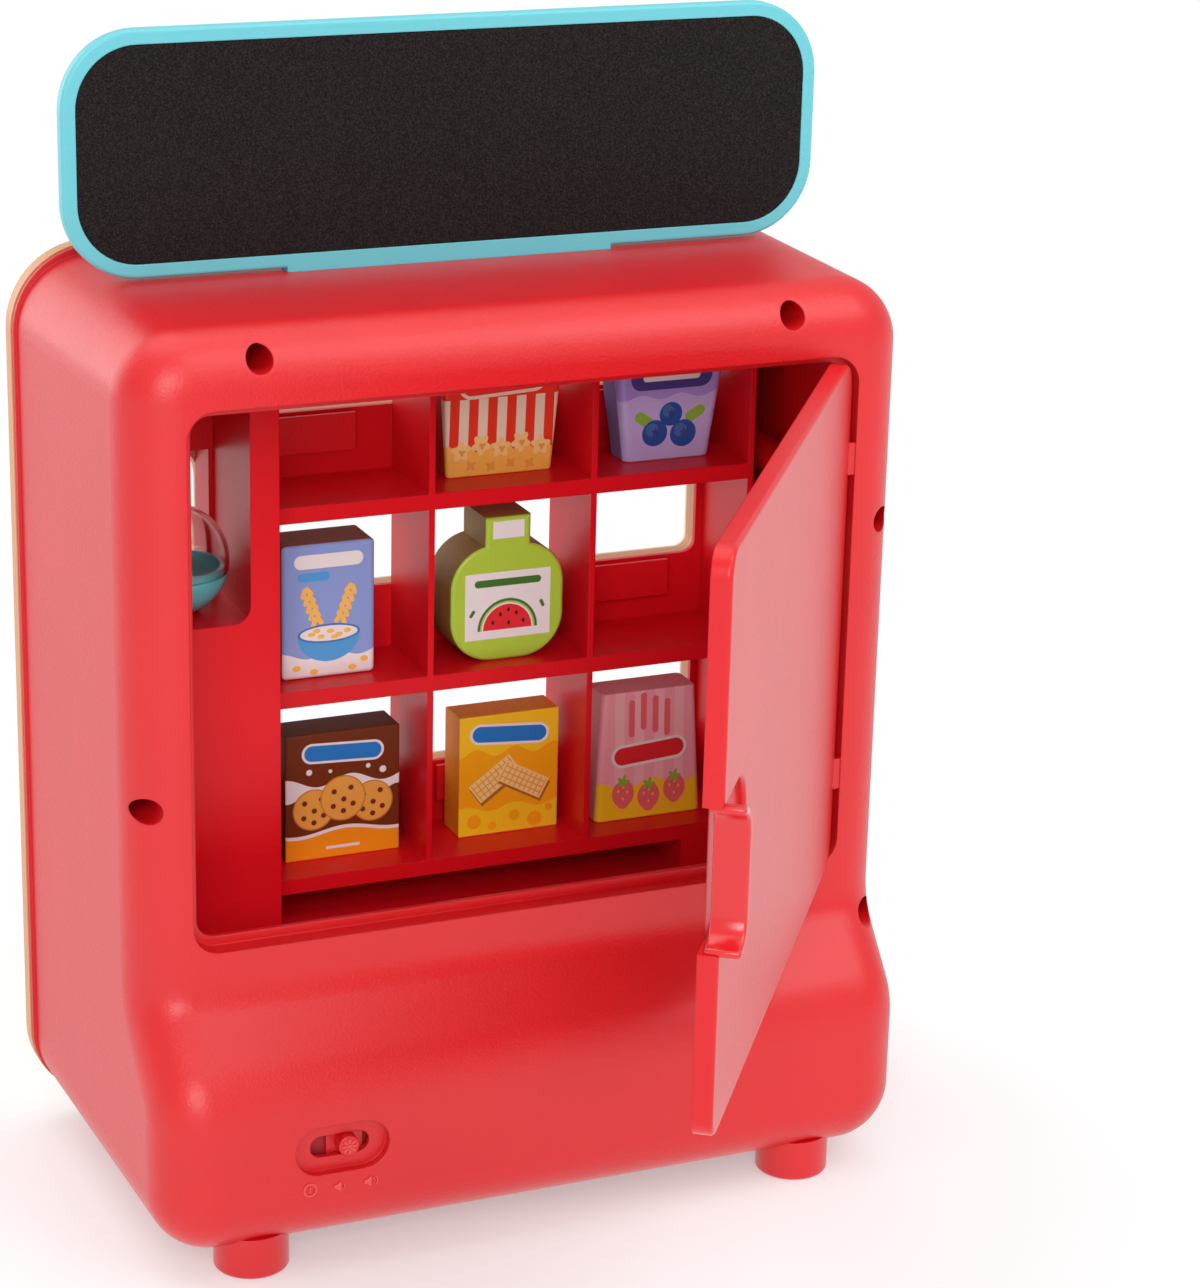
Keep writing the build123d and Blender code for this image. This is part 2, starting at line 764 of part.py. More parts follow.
with BuildPart() as chalk_panel:
    with BuildSketch(upright(board_y)):
        with Locations((0, board_bottom + board_height / 2)):
            RectangleRounded(
                board_width - 2 * board_rim - 2 * chalk_gap,
                board_height - 2 * board_rim - 2 * chalk_gap,
                board_corner - board_rim - chalk_gap,
            )
    extrude(amount=chalk_thickness)
save(chalk_panel.part, "chalk_panel")

# Feet, each with a pin in the floor of the housing
for spot, name in zip(foot_points, foot_names):
    with BuildPart() as foot:
        with BuildSketch():
            with Locations(spot):
                Circle(foot_radius)
        extrude(amount=shell_bottom + foot_overlap)
        fillet(foot.edges().sort_by(Axis.Z)[0], foot_round)
        add(outer_form, mode=Mode.SUBTRACT)
        with BuildSketch(Plane.XY.offset(shell_bottom - foot_overlap)):
            with Locations(spot):
                Circle(foot_pin_radius - pin_clearance)
        extrude(amount=foot_overlap + foot_pin_height)
    save(foot.part, name)

# Screws that hold the housing to the front panel
with BuildPart() as case_screws:
    with BuildSketch(upright(flange_y + screw_seat)):
        with Locations(*well_points):
            Circle(screw_shank)
    extrude(amount=flange_thickness + screw_seat + screw_bite - 1)
    with BuildSketch(upright(flange_y + screw_seat + screw_head_height)):
        with Locations(*well_points):
            Circle(screw_head)
    extrude(amount=screw_head_height)
save(case_screws.part, "case_screws")

# Power switch: slider in its recess and the switch behind it
with BuildPart() as power_slider:
    with BuildSketch(upright(bulge_y - slider_sink)):
        with Locations((slider_x, slider_z)):
            Circle(slider_radius)
    extrude(amount=switch_recess + wall - slider_sink + slide_clearance)
    fillet(power_slider.edges().filter_by(GeomType.CIRCLE).group_by(Axis.Y)[-1], slider_round)
    with BuildSketch(upright(switch_back_y - slide_clearance)):
        with Locations((slider_x, slider_z)):
            Rectangle(slider_plate_width, slider_plate_height)
    extrude(amount=slider_plate)
save(power_slider.part, "power_slider")

with BuildPart() as switch_body:
    with BuildSketch(upright(switch_back_y - 2 * slide_clearance - slider_plate)):
        with Locations((switch_x, switch_z)):
            Rectangle(switch_body_width, switch_body_height)
    extrude(amount=switch_body_depth)
save(switch_body.part, "switch_body")

# Sound board on its posts, and the speaker behind the grille
board_z = shell_bottom + wall + sound_post
with BuildPart() as sound_board:
    with BuildSketch(Plane.XY.offset(board_z)):
        with Locations((sound_x, sound_y)):
            Rectangle(sound_length, sound_width)
    extrude(amount=sound_board_thickness)
    with BuildSketch(Plane.XY.offset(board_z + sound_board_thickness)):
        with Locations((sound_x - 8, sound_y + 4)):
            Rectangle(14, 14)
        with Locations((sound_x + 16, sound_y - 6)):
            Rectangle(9, 12)
    extrude(amount=chip_height)
save(sound_board.part, "sound_board")

with BuildPart() as speaker:
    with BuildSketch(upright(panel_back_y + speaker_flange)):
        with Locations((speaker_x, speaker_z)):
            Circle(speaker_radius)
    extrude(amount=speaker_flange)
    with BuildSketch(upright(panel_back_y + speaker_flange)):
        with Locations((speaker_x, speaker_z)):
            Circle(speaker_radius - 3)
    with BuildSketch(upright(panel_back_y + speaker_depth - magnet_depth)):
        with Locations((speaker_x, speaker_z)):
            Circle(magnet_radius - 1)
    loft()
    with BuildSketch(upright(panel_back_y + speaker_depth)):
        with Locations((speaker_x, speaker_z)):
            Circle(magnet_radius)
    extrude(amount=magnet_depth)
save(speaker.part, "speaker")

# Battery box over its bay in the floor, with three cells, the cover and its screw
bay_z = shell_bottom + wall
cavity_length = battery_bay_length - 2 * tray_ledge - tray_boss
cavity_x = battery_x - tray_boss / 2
cell_z = bay_z + battery_room + battery_radius
cover_screw_x = battery_x + battery_bay_length / 2 - tray_ledge - tray_boss / 2
with BuildPart() as battery_box:
    with BuildSketch(Plane.XY.offset(bay_z)):
        with Locations((battery_x, battery_y)):
            Rectangle(battery_bay_length + 2 * tray_wall, battery_bay_width + 2 * tray_wall)
    extrude(amount=2 * battery_radius + 2 * battery_room + tray_wall)
    with BuildSketch(Plane.XY.offset(bay_z)):
        with Locations((cavity_x, battery_y)):
            Rectangle(cavity_length, battery_bay_width - 2 * tray_ledge)
    extrude(amount=2 * battery_radius + 2 * battery_room, mode=Mode.SUBTRACT)
    with BuildSketch(Plane.XY.offset(bay_z)):
        with Locations((cover_screw_x, battery_y)):
            Circle(cover_shank + pin_clearance)
    extrude(amount=cover_screw_length, mode=Mode.SUBTRACT)
save(battery_box.part, "battery_box")

with BuildPart() as battery_cells:
    for number in range(battery_count):
        shift = (number - (battery_count - 1) / 2) * battery_pitch
        with BuildSketch(Plane.YZ.offset(cavity_x - battery_length / 2)):
            with Locations((battery_y + shift, cell_z)):
                Circle(battery_radius)
        extrude(amount=battery_length - battery_nub)
        with BuildSketch(Plane.YZ.offset(cavity_x + battery_length / 2 - battery_nub)):
            with Locations((battery_y + shift, cell_z)):
                Circle(battery_nub_radius)
        extrude(amount=battery_nub)
save(battery_cells.part, "battery_cells")

with BuildPart() as battery_cover:
    with BuildSketch(Plane.XY.offset(shell_bottom)):
        with Locations((battery_x, battery_y)):
            RectangleRounded(battery_bay_length - 2 * cover_gap, battery_bay_width - 2 * cover_gap, 3 - cover_gap)
    extrude(amount=wall)
    with BuildSketch(Plane.XY.offset(shell_bottom)):
        with Locations((cover_screw_x, battery_y)):
            Circle(cover_head + slide_clearance)
    extrude(amount=cover_head_height, mode=Mode.SUBTRACT)
    with BuildSketch(Plane.XY.offset(shell_bottom)):
        with Locations((cover_screw_x, battery_y)):
            Circle(cover_shank + pin_clearance)
    extrude(amount=wall, mode=Mode.SUBTRACT)
save(battery_cover.part, "battery_cover")

with BuildPart() as cover_screw:
    with BuildSketch(Plane.XY.offset(shell_bottom + slide_clearance)):
        with Locations((cover_screw_x, battery_y)):
            Circle(cover_head)
    extrude(amount=cover_head_height - slide_clearance)
    with BuildSketch(Plane.XY.offset(shell_bottom + cover_head_height)):
        with Locations((cover_screw_x, battery_y)):
            Circle(cover_shank)
    extrude(amount=wall - cover_head_height + cover_screw_length - 1)
save(cover_screw.part, "cover_screw")

# Capsule dispenser: knob and crank, the gate that they draw down, coin slot and cup
with BuildPart() as capsule_knob:
    with BuildSketch(upright(panel_front_y)):
        with Locations((capsule_x, knob_z)):
            Circle(knob_radius)
    extrude(amount=knob_base)
    with BuildSketch(upright(panel_front_y - knob_base)):
        with Locations((capsule_x, knob_z)):
            SlotOverall(2 * knob_radius - 4, grip_bar)
    extrude(amount=knob_height - knob_base)
    fillet(capsule_knob.faces().sort_by(Axis.Y)[0].edges(), knob_round)
    with BuildSketch(upright(crank_front_y)):
        with Locations((capsule_x, knob_z)):
            Circle(spindle_radius)
    extrude(amount=spindle_length)
save(capsule_knob.part, "capsule_knob")

pin_shift = crank_reach * cos(radians(45))
with BuildPart() as crank_disc:
    with BuildSketch(upright(crank_front_y + crank_thickness)):
        with Locations((capsule_x, knob_z)):
            Circle(crank_radius)
    extrude(amount=crank_thickness)
    with BuildSketch(upright(gate_y + crank_pin_over)):
        with Locations((capsule_x + pin_shift, knob_z + pin_shift)):
            Circle(crank_pin_radius)
    extrude(amount=gate_y + crank_pin_over - crank_front_y - crank_thickness)
save(crank_disc.part, "crank_disc")

gate_top = niche_floor + gate_rise
with BuildPart() as release_gate:
    with BuildSketch(upright(gate_y)):
        with Locations((capsule_x, gate_top - gate_height / 2)):
            RectangleRounded(gate_width, gate_height, gate_corner)
        with Locations((capsule_x + (pin_shift + crank_reach) / 2, knob_z + pin_shift)):
            SlotOverall(
                crank_reach - pin_shift + 2 * crank_pin_radius + 2 * yoke_play,
                2 * crank_pin_radius + 2 * yoke_play,
                mode=Mode.SUBTRACT,
            )
    extrude(amount=gate_thickness)
save(release_gate.part, "release_gate")

with BuildPart() as coin_plate:
    with BuildSketch(upright(panel_front_y)):
        with Locations((capsule_x, coin_z)):
            Circle(coin_plate_radius)
            Rectangle(coin_slot_width, coin_slot_height, mode=Mode.SUBTRACT)
    extrude(amount=coin_plate_thickness)
    fillet(coin_plate.edges().filter_by(GeomType.CIRCLE).group_by(Axis.Y)[0], coin_plate_thickness / 2)
save(coin_plate.part, "coin_plate")

cup_bottom = return_z - return_height / 2
with BuildPart() as coin_cup:
    with BuildSketch(upright(panel_back_y + cup_depth)):
        with Locations((capsule_x, return_z - cup_wall / 2)):
            Rectangle(return_width + 2 * cup_wall, return_height + cup_wall)
    extrude(amount=cup_depth)
    with BuildSketch(upright(panel_back_y + cup_depth - cup_wall)):
        with Locations((capsule_x, cup_bottom + return_height)):
            Rectangle(return_width, 2 * return_height)
    extrude(amount=cup_depth - cup_wall, mode=Mode.SUBTRACT)
save(coin_cup.part, "coin_cup")

# Capsule in its niche: a bowl with a thread band, and the clear dome
ball_z = niche_floor + (capsule_radius**2 - capsule_foot**2) ** 0.5
split_z = niche_floor + capsule_split
ball_inner = capsule_radius - capsule_wall
base_inner_foot = (ball_inner**2 - (ball_z - niche_floor - capsule_wall) ** 2) ** 0.5


def ball_edge(radius, z):
    """Half width of a sphere about the capsule's centre, at a height."""
    return (radius**2 - (z - ball_z) ** 2) ** 0.5


with BuildPart() as capsule_base:
    with BuildSketch(Plane.XZ.offset(-capsule_y)):
        with BuildLine():
            edge = ball_edge(capsule_radius, split_z)
            band = ball_edge(ball_inner - capsule_gap, split_z)
            bore = band - capsule_wall
            Polyline(
                (capsule_x, niche_floor + capsule_wall),
                (capsule_x, niche_floor),
                (capsule_x + capsule_foot, niche_floor),
            )
            ThreePointArc(
                (capsule_x + capsule_foot, niche_floor),
                (capsule_x + ball_edge(capsule_radius, niche_floor + capsule_split / 2), niche_floor + capsule_split / 2),
                (capsule_x + edge, split_z),
            )
            Polyline(
                (capsule_x + edge, split_z),
                (capsule_x + band, split_z),
                (capsule_x + band, split_z + thread_height),
                (capsule_x + bore, split_z + thread_height),
                (capsule_x + bore, split_z),
            )
            ThreePointArc(
                (capsule_x + bore, split_z),
                (capsule_x + ball_edge(ball_inner - 1, niche_floor + capsule_split / 2), niche_floor + capsule_split / 2),
                (capsule_x + capsule_foot, niche_floor + capsule_wall),
            )
            Line((capsule_x + capsule_foot, niche_floor + capsule_wall), (capsule_x, niche_floor + capsule_wall))
        make_face()
    revolve(axis=Axis((capsule_x, capsule_y, 0), (0, 0, 1)))
save(capsule_base.part, "capsule_base")

dome_bottom = split_z + capsule_gap
with BuildPart() as capsule_dome:
    with BuildSketch(Plane.XZ.offset(-capsule_y)):
        with BuildLine():
            dome_edge = ball_edge(capsule_radius, dome_bottom)
            inner_edge = ball_edge(ball_inner, dome_bottom)
            ThreePointArc(
                (capsule_x + dome_edge, dome_bottom),
                (capsule_x + capsule_radius * cos(radians(40)), ball_z + capsule_radius * sin(radians(40))),
                (capsule_x, ball_z + capsule_radius),
            )
            Line((capsule_x, ball_z + capsule_radius), (capsule_x, ball_z + ball_inner))
            ThreePointArc(
                (capsule_x, ball_z + ball_inner),
                (capsule_x + ball_inner * cos(radians(40)), ball_z + ball_inner * sin(radians(40))),
                (capsule_x + inner_edge, dome_bottom),
            )
            Line((capsule_x + inner_edge, dome_bottom), (capsule_x + dome_edge, dome_bottom))
        make_face()
    revolve(axis=Axis((capsule_x, capsule_y, 0), (0, 0, 1)))
save(capsule_dome.part, "capsule_dome")

# Toy snacks in their cells, each a little off the middle of its cell
right_centre, middle_centre, left_centre = column_centres
block("cookie_box", left_centre - 4.1, cell_rear_y - 18.5, lower_shelf_top, 54.2, 20.0, 60.0, 0.8)
block("wafer_box", middle_centre - 8.2, cell_rear_y - 20.0, lower_shelf_top, 48.9, 18.5, 58.0, 0.8)
block("oat_milk_carton", left_centre + 4.2, cell_rear_y - 14.0, middle_shelf_top, 43.5, 24.0, 62.0, 2.5)


def tapered(name, x, y, bottom, lower, upper, height, rounding):
    """Snack block whose sides lean, from a lower to an upper rectangle."""
    with BuildPart() as piece:
        with BuildSketch(Plane.XY.offset(bottom)):
            with Locations((x, y)):
                RectangleRounded(lower[0], lower[1], rounding)
        with BuildSketch(Plane.XY.offset(bottom + height)):
            with Locations((x, y)):
                RectangleRounded(upper[0], upper[1], rounding)
        loft()
        fillet(piece.faces().sort_by(Axis.Z)[0].edges(), 1)
        fillet(piece.faces().sort_by(Axis.Z)[-1].edges(), 1)
    save(piece.part, name)


tapered("biscuit_box", right_centre + 0.3, cell_rear_y - 26.6, lower_shelf_top, (53.5, 23.0), (47.0, 19.0), 62.0, 3.0)
tapered("popcorn_tub", middle_centre - 1.2, cell_rear_y - 28.3, upper_shelf_top, (50.0, 17.0), (58.0, 25.0), 62.0, 2.0)
tapered("yogurt_pot", right_centre - 5.0, cell_rear_y - 26.6, upper_shelf_top, (42.0, 18.0), (56.0, 25.0), 56.0, 4.0)

bottle_x = middle_centre - 2.0
with BuildPart() as melon_juice_bottle:
    with BuildSketch(upright(cell_rear_y - 10.0)):
        with Locations((bottle_x, middle_shelf_top + 27.0)):
            RectangleRounded(54.5, 54.0, 20.0)
        with Locations((bottle_x, middle_shelf_top + 57.0)):
            Rectangle(22.0, 20.0)
    extrude(amount=28.0)
    fillet(melon_juice_bottle.edges().filter_by(Axis.Y, reverse=True), 2.0)
save(melon_juice_bottle.part, "melon_juice_bottle")
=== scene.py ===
from math import cos, pi, radians, sin

import bmesh
import bpy
from bpy.props import FloatProperty, FloatVectorProperty, PointerProperty
from mathutils import Matrix, Vector


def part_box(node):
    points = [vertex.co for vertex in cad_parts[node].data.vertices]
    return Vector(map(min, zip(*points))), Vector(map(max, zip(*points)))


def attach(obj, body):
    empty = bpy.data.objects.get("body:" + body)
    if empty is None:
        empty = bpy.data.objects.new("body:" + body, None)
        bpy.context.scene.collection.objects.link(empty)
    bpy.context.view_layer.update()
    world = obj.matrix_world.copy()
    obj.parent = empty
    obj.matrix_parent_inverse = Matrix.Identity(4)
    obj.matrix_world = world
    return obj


bl_info = {
    "name": "Toy vending machine",
    "version": (1, 0, 0),
    "blender": (4, 5, 0),
    "location": "View3D > Sidebar > Vending machine",
    "description": "Finishes, prints and studio for a toy vending machine seen from its rear door",
    "category": "Object",
}

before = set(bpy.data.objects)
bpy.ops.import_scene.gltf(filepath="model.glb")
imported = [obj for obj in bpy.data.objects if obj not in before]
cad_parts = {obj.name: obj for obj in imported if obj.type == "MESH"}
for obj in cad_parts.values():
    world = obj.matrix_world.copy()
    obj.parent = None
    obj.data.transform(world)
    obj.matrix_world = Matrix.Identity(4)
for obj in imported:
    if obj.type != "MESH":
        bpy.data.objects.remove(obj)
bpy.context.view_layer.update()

MM = 0.001
WHITE = (1, 1, 1, 1)
BULGE_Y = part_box("rear_shell")[1][1]
PANEL_FRONT_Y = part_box("front_panel")[0][1]

# The camera of the photograph, in metres and degrees
CAMERA_PLACE = (0.56421, 1.30029, 0.74646)
CAMERA_TURN = (70.8024, -1.3217, 156.4893)
CAMERA_SHIFT = (0.00794, 0.02666)
CAMERA_SENSOR = 36.0
CAMERA_REACH = 60.0
LAMPS_AIM = Vector((0, 0, 0.2))

# How far the front panel's paint runs round its edge, in millimetres, and how fast its layers
# follow each other, in radians per millimetre
PANEL_PAINT = 1.6
PANEL_LAYERS = 1.9

# The door as it stands open, in millimetres: its hinge, its turn, its outer face beside the
# hinge's line, the middle of its grip, how deep the grip's lip goes into the leaf, how far it
# stands out and how round its edges are
DOOR_HINGE = (-142.9, -32.257, 0.0)
DOOR_TURN = radians(54.3)
DOOR_FACE = 3.1
GRIP_Z = 244.5
GRIP_DEPTH = 5.8
GRIP_RISE = 8.0
GRIP_ROUNDING = 1.4

# Reliefs on the housing, in millimetres
RELIEF_SINK = 0.05
MARK_RISE = 0.6
POWER_MARK = (108.1, 40.6)
SPEAKER_Z = 40.1
RIB_RISE = 0.45


# Sockets as Python values

class Wire:
    """A number on its way through a material; Python's operators add Math nodes."""

    def __init__(self, finish, socket):
        self.finish = finish
        self.socket = socket

    def math(self, operation, *others, clamp=False):
        settings = {"operation": operation, "use_clamp": clamp}
        return self.finish.add("ShaderNodeMath", settings, dict(enumerate((self, *others))))

    def __add__(self, other):
        return self.math("ADD", other)

    def __sub__(self, other):
        return self.math("SUBTRACT", other)

    def __mul__(self, other):
        return self.math("MULTIPLY", other)

    def __truediv__(self, other):
        return self.math("DIVIDE", other)

    def __rsub__(self, other):
        return (self * -1) + other

    def __rtruediv__(self, other):
        return self.math("POWER", -1.0) * other

    def __abs__(self):
        return self.math("ABSOLUTE")

    __radd__ = __add__
    __rmul__ = __mul__

    def clip(self):
        return self.math("ADD", 0.0, clamp=True)

    def larger(self, other):
        return self.math("MAXIMUM", other)

    def smaller(self, other):
        return self.math("MINIMUM", other)

    def over(self, limit):
        return self.math("GREATER_THAN", limit)

    def sine(self):
        return self.math("SINE")

    def root(self):
        return self.math("SQRT")

    def wrapped(self, period):
        """The distance from the nearest multiple of a period, for a number above -1000 periods."""
        return abs((self + period * 1000.5).math("MODULO", period) - period / 2)


class Nodes:
    """The nodes of a material or of the surroundings."""

    def __init__(self, owner, ending):
        owner.use_nodes = True
        self.tree = owner.node_tree
        self.tree.nodes.clear()
        self.output = self.tree.nodes.new(ending)

    def add(self, kind, settings=None, inputs=None, output=0):
        """Adds a node with its settings and the values or links of its sockets."""
        node = self.tree.nodes.new(kind)
        for key, value in (settings or {}).items():
            setattr(node, key, value)
        for key, value in (inputs or {}).items():
            if isinstance(value, Wire):
                self.tree.links.new(value.socket, node.inputs[key])
            else:
                node.inputs[key].default_value = value
        return Wire(self, node.outputs[output])

    def end(self, shader):
        """Sends a shader to the output."""
        self.tree.links.new(shader.socket, self.output.inputs["Surface"])


class Finish(Nodes):
    """A material under construction."""

    def __init__(self, name):
        self.material = bpy.data.materials.new(name)
        super().__init__(self.material, "ShaderNodeOutputMaterial")

    def place(self, centre=(0, 0, 0), unit=MM):
        """Object coordinates about a centre, counted in a unit, as a vector wire."""
        coordinates = self.add("ShaderNodeTexCoord", output="Object")
        shift = [-value / unit for value in centre]
        return self.stretched(coordinates, (1 / unit,) * 3, shift)

    def stretched(self, vector, scale, shift=(0, 0, 0)):
        """A vector wire, scaled and then shifted."""
        inputs = {"Vector": vector, "Location": shift, "Scale": scale}
        return self.add("ShaderNodeMapping", {"vector_type": "POINT"}, inputs)

    def along(self, vector, axis):
        """One of the three numbers of a vector wire."""
        return self.add("ShaderNodeSeparateXYZ", None, {0: vector}, output=axis)

    def noise(self, vector, scale, detail=3.0, roughness=0.5):
        return self.add(
            "ShaderNodeTexNoise",
            {"noise_dimensions": "3D"},
            {"Vector": vector, "Scale": scale, "Detail": detail, "Roughness": roughness},
        )

    def mix(self, mask, under, over):
        """A colour that goes from one to another as the mask goes from 0 to 1."""
        return self.add(
            "ShaderNodeMix",
            {"data_type": "RGBA", "blend_type": "MIX"},
            {0: mask, 6: colour(under), 7: colour(over)},
            output=2,
        )

    def bump(self, height, strength, distance, normal=None):
        inputs = {"Height": height, "Strength": strength, "Distance": distance}
        if normal is not None:
            inputs["Normal"] = normal
        return self.add("ShaderNodeBump", None, inputs)

    def soft_edges(self, radius):
        """Normals that turn round the edges as on a moulding with small radii."""
        return self.add("ShaderNodeBevel", {"samples": 6}, {"Radius": radius})

    def surface(self, **inputs):
        """Ends the material in one glossy or matt surface."""
        named = {
            key.replace("_", " ").title().replace("Ior", "IOR"): value for key, value in inputs.items()
        }
        self.end(self.add("ShaderNodeBsdfPrincipled", None, named))
        return self.material


def colour(value):
    """A colour with its alpha, or a wire as it is."""
    if isinstance(value, Wire):
        return value
    return (*tuple(value)[:3], 1.0)


def shaded(base, share):
    """A colour made lighter or darker."""
    return [min(1.0, share * value) for value in base]


def wear(material, *nodes):
    """Gives nodes of the frame their finish."""
    for node in nodes:
        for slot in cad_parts[node].material_slots:
            slot.material = material


# Finishes

def moulded(name, base, roughness=0.40, coat=0.15, edge=0.0, grain=1.0, gloss=0.7):
    """Satin moulded plastic: an even grain, faint flow marks and slightly uneven colour.

    The edges look rounded by so many millimetres.
    """
    finish = Finish(name)
    here = finish.place()
    wave = finish.noise(here, 0.02, 2.0)
    speck = finish.noise(here, 0.8, 2.0, 0.7)
    height = speck * grain + wave * 2.0
    rounded = finish.soft_edges(edge * MM) if edge else None
    return finish.surface(
        base_color=finish.mix(wave, shaded(base, 0.94), shaded(base, 1.05)),
        roughness=roughness + (speck - 0.5) * 0.16,
        normal=finish.bump(height, 0.5, 0.4 * MM, rounded),
        coat_weight=coat,
        coat_roughness=0.3,
        specular_ior_level=gloss,
        ior=1.45,
    )


def metal(name, base, roughness):
    """Plated steel with fine turning marks."""
    finish = Finish(name)
    here = finish.place()
    mark = finish.noise(here, 3.0, 2.0)
    return finish.surface(
        base_color=finish.mix(mark, shaded(base, 0.85), base),
        metallic=1.0,
        roughness=roughness + mark * 0.15,
    )


def panel_finish(cream, wood):
    """Layered board: a cream face with a rounded edge, and bare edges with their layers."""
    finish = Finish("panel_wood")
    here = finish.place()
    y = finish.along(here, "Y")
    face = (y * -1 + (PANEL_FRONT_Y / MM + PANEL_PAINT)).over(0.0)
    layer = ((y * PANEL_LAYERS).sine() * 0.5 + 0.5) * 0.35
    grain = finish.noise(here, 0.6, 4.0, 0.6)
    fibre = finish.mix((grain * 0.6 + layer).clip(), wood, shaded(wood, 0.62))
    paint = finish.mix(grain * 0.3, cream, shaded(cream, 0.94))
    return finish.surface(
        base_color=finish.mix(face, fibre, paint),
        roughness=0.45 - face * 0.1,
        normal=finish.bump(grain * (1 - face * 0.7), 0.12, 0.4 * MM),
    )


def painted_board(name, base):
    """Painted board with a satin lacquer and a trace of wood grain."""
    finish = Finish(name)
    here = finish.place()
    grain = finish.noise(finish.stretched(here, (0.06, 1.0, 1.0)), 0.8, 3.0)
    return finish.surface(
        base_color=finish.mix(grain, shaded(base, 0.94), base),
        roughness=0.40 + grain * 0.1,
        normal=finish.bump(grain, 0.1, 0.3 * MM, finish.soft_edges(0.8 * MM)),
        coat_weight=0.15,
        coat_roughness=0.2,
    )


def chalk_finish(base):
    """Black chalk surface: a fine brownish tooth with faint wiped traces of chalk."""
    finish = Finish("chalkboard")
    here = finish.place()
    tooth = finish.noise(here, 1.3, 2.0, 0.8)
    wiped = finish.noise(here, 0.012, 3.0)
    dust = ((wiped - 0.5) * 1.6).clip() * 0.12
    bright = [value * 3.2 + 0.012 for value in base]
    return finish.surface(
        base_color=finish.mix((((tooth - 0.42) * 3.0).clip() + dust).clip(), base, bright),
        roughness=0.75,
        normal=finish.bump(tooth, 0.5, 0.3 * MM),
        specular_ior_level=0.12,
    )


def plain(name, base, roughness):
    """Small plain part with a slightly uneven skin."""
    finish = Finish(name)
    here = finish.place()
    speck = finish.noise(here, 1.2, 2.0)
    return finish.surface(
        base_color=finish.mix(speck, shaded(base, 0.88), base),
        roughness=roughness + (speck - 0.5) * 0.1,
        normal=finish.bump(speck, 0.08, 0.3 * MM),
    )


def clear_finish(name):
    """Clear plastic with a faintly uneven polish."""
    finish = Finish(name)
    speck = finish.noise(finish.place(), 0.4)
    return finish.surface(
        base_color=(0.96, 0.98, 0.98, 1),
        roughness=0.04 + speck * 0.05,
        transmission_weight=1.0,
        ior=1.3,
    )


def floor_finish(sizes):
    """Pale paper that keeps the shadow near the object and turns white further out."""
    finish = Finish("floor")
    here = finish.place(unit=1.0)
    x, y = finish.along(here, "X"), finish.along(here, "Y")
    far = (((x * x + y * y).root() - sizes.shadow_reach) / sizes.fade).clip()
    speck = finish.noise(here, 3.0)
    tint = finish.mix(speck, (0.93, 0.93, 0.93), (0.96, 0.96, 0.96))
    inputs = {"Base Color": tint, "Roughness": 0.6, "Specular IOR Level": 0.1}
    paper = finish.add("ShaderNodeBsdfPrincipled", None, inputs)
    white = finish.add("ShaderNodeEmission", None, {"Color": WHITE, "Strength": 1.0})
    camera_ray = finish.add("ShaderNodeLightPath", output="Is Camera Ray")
    glossy_ray = finish.add("ShaderNodeLightPath", output="Is Glossy Ray")
    shown = ((far * (1 - sizes.own_white) + sizes.own_white) * camera_ray).larger(glossy_ray)
    finish.end(finish.add("ShaderNodeMixShader", None, {0: shown, 1: paper, 2: white}))
    return finish.material


# Prints on the snack blocks, in millimetres on the face seen through the door

PRINT_SOFTNESS = 0.25


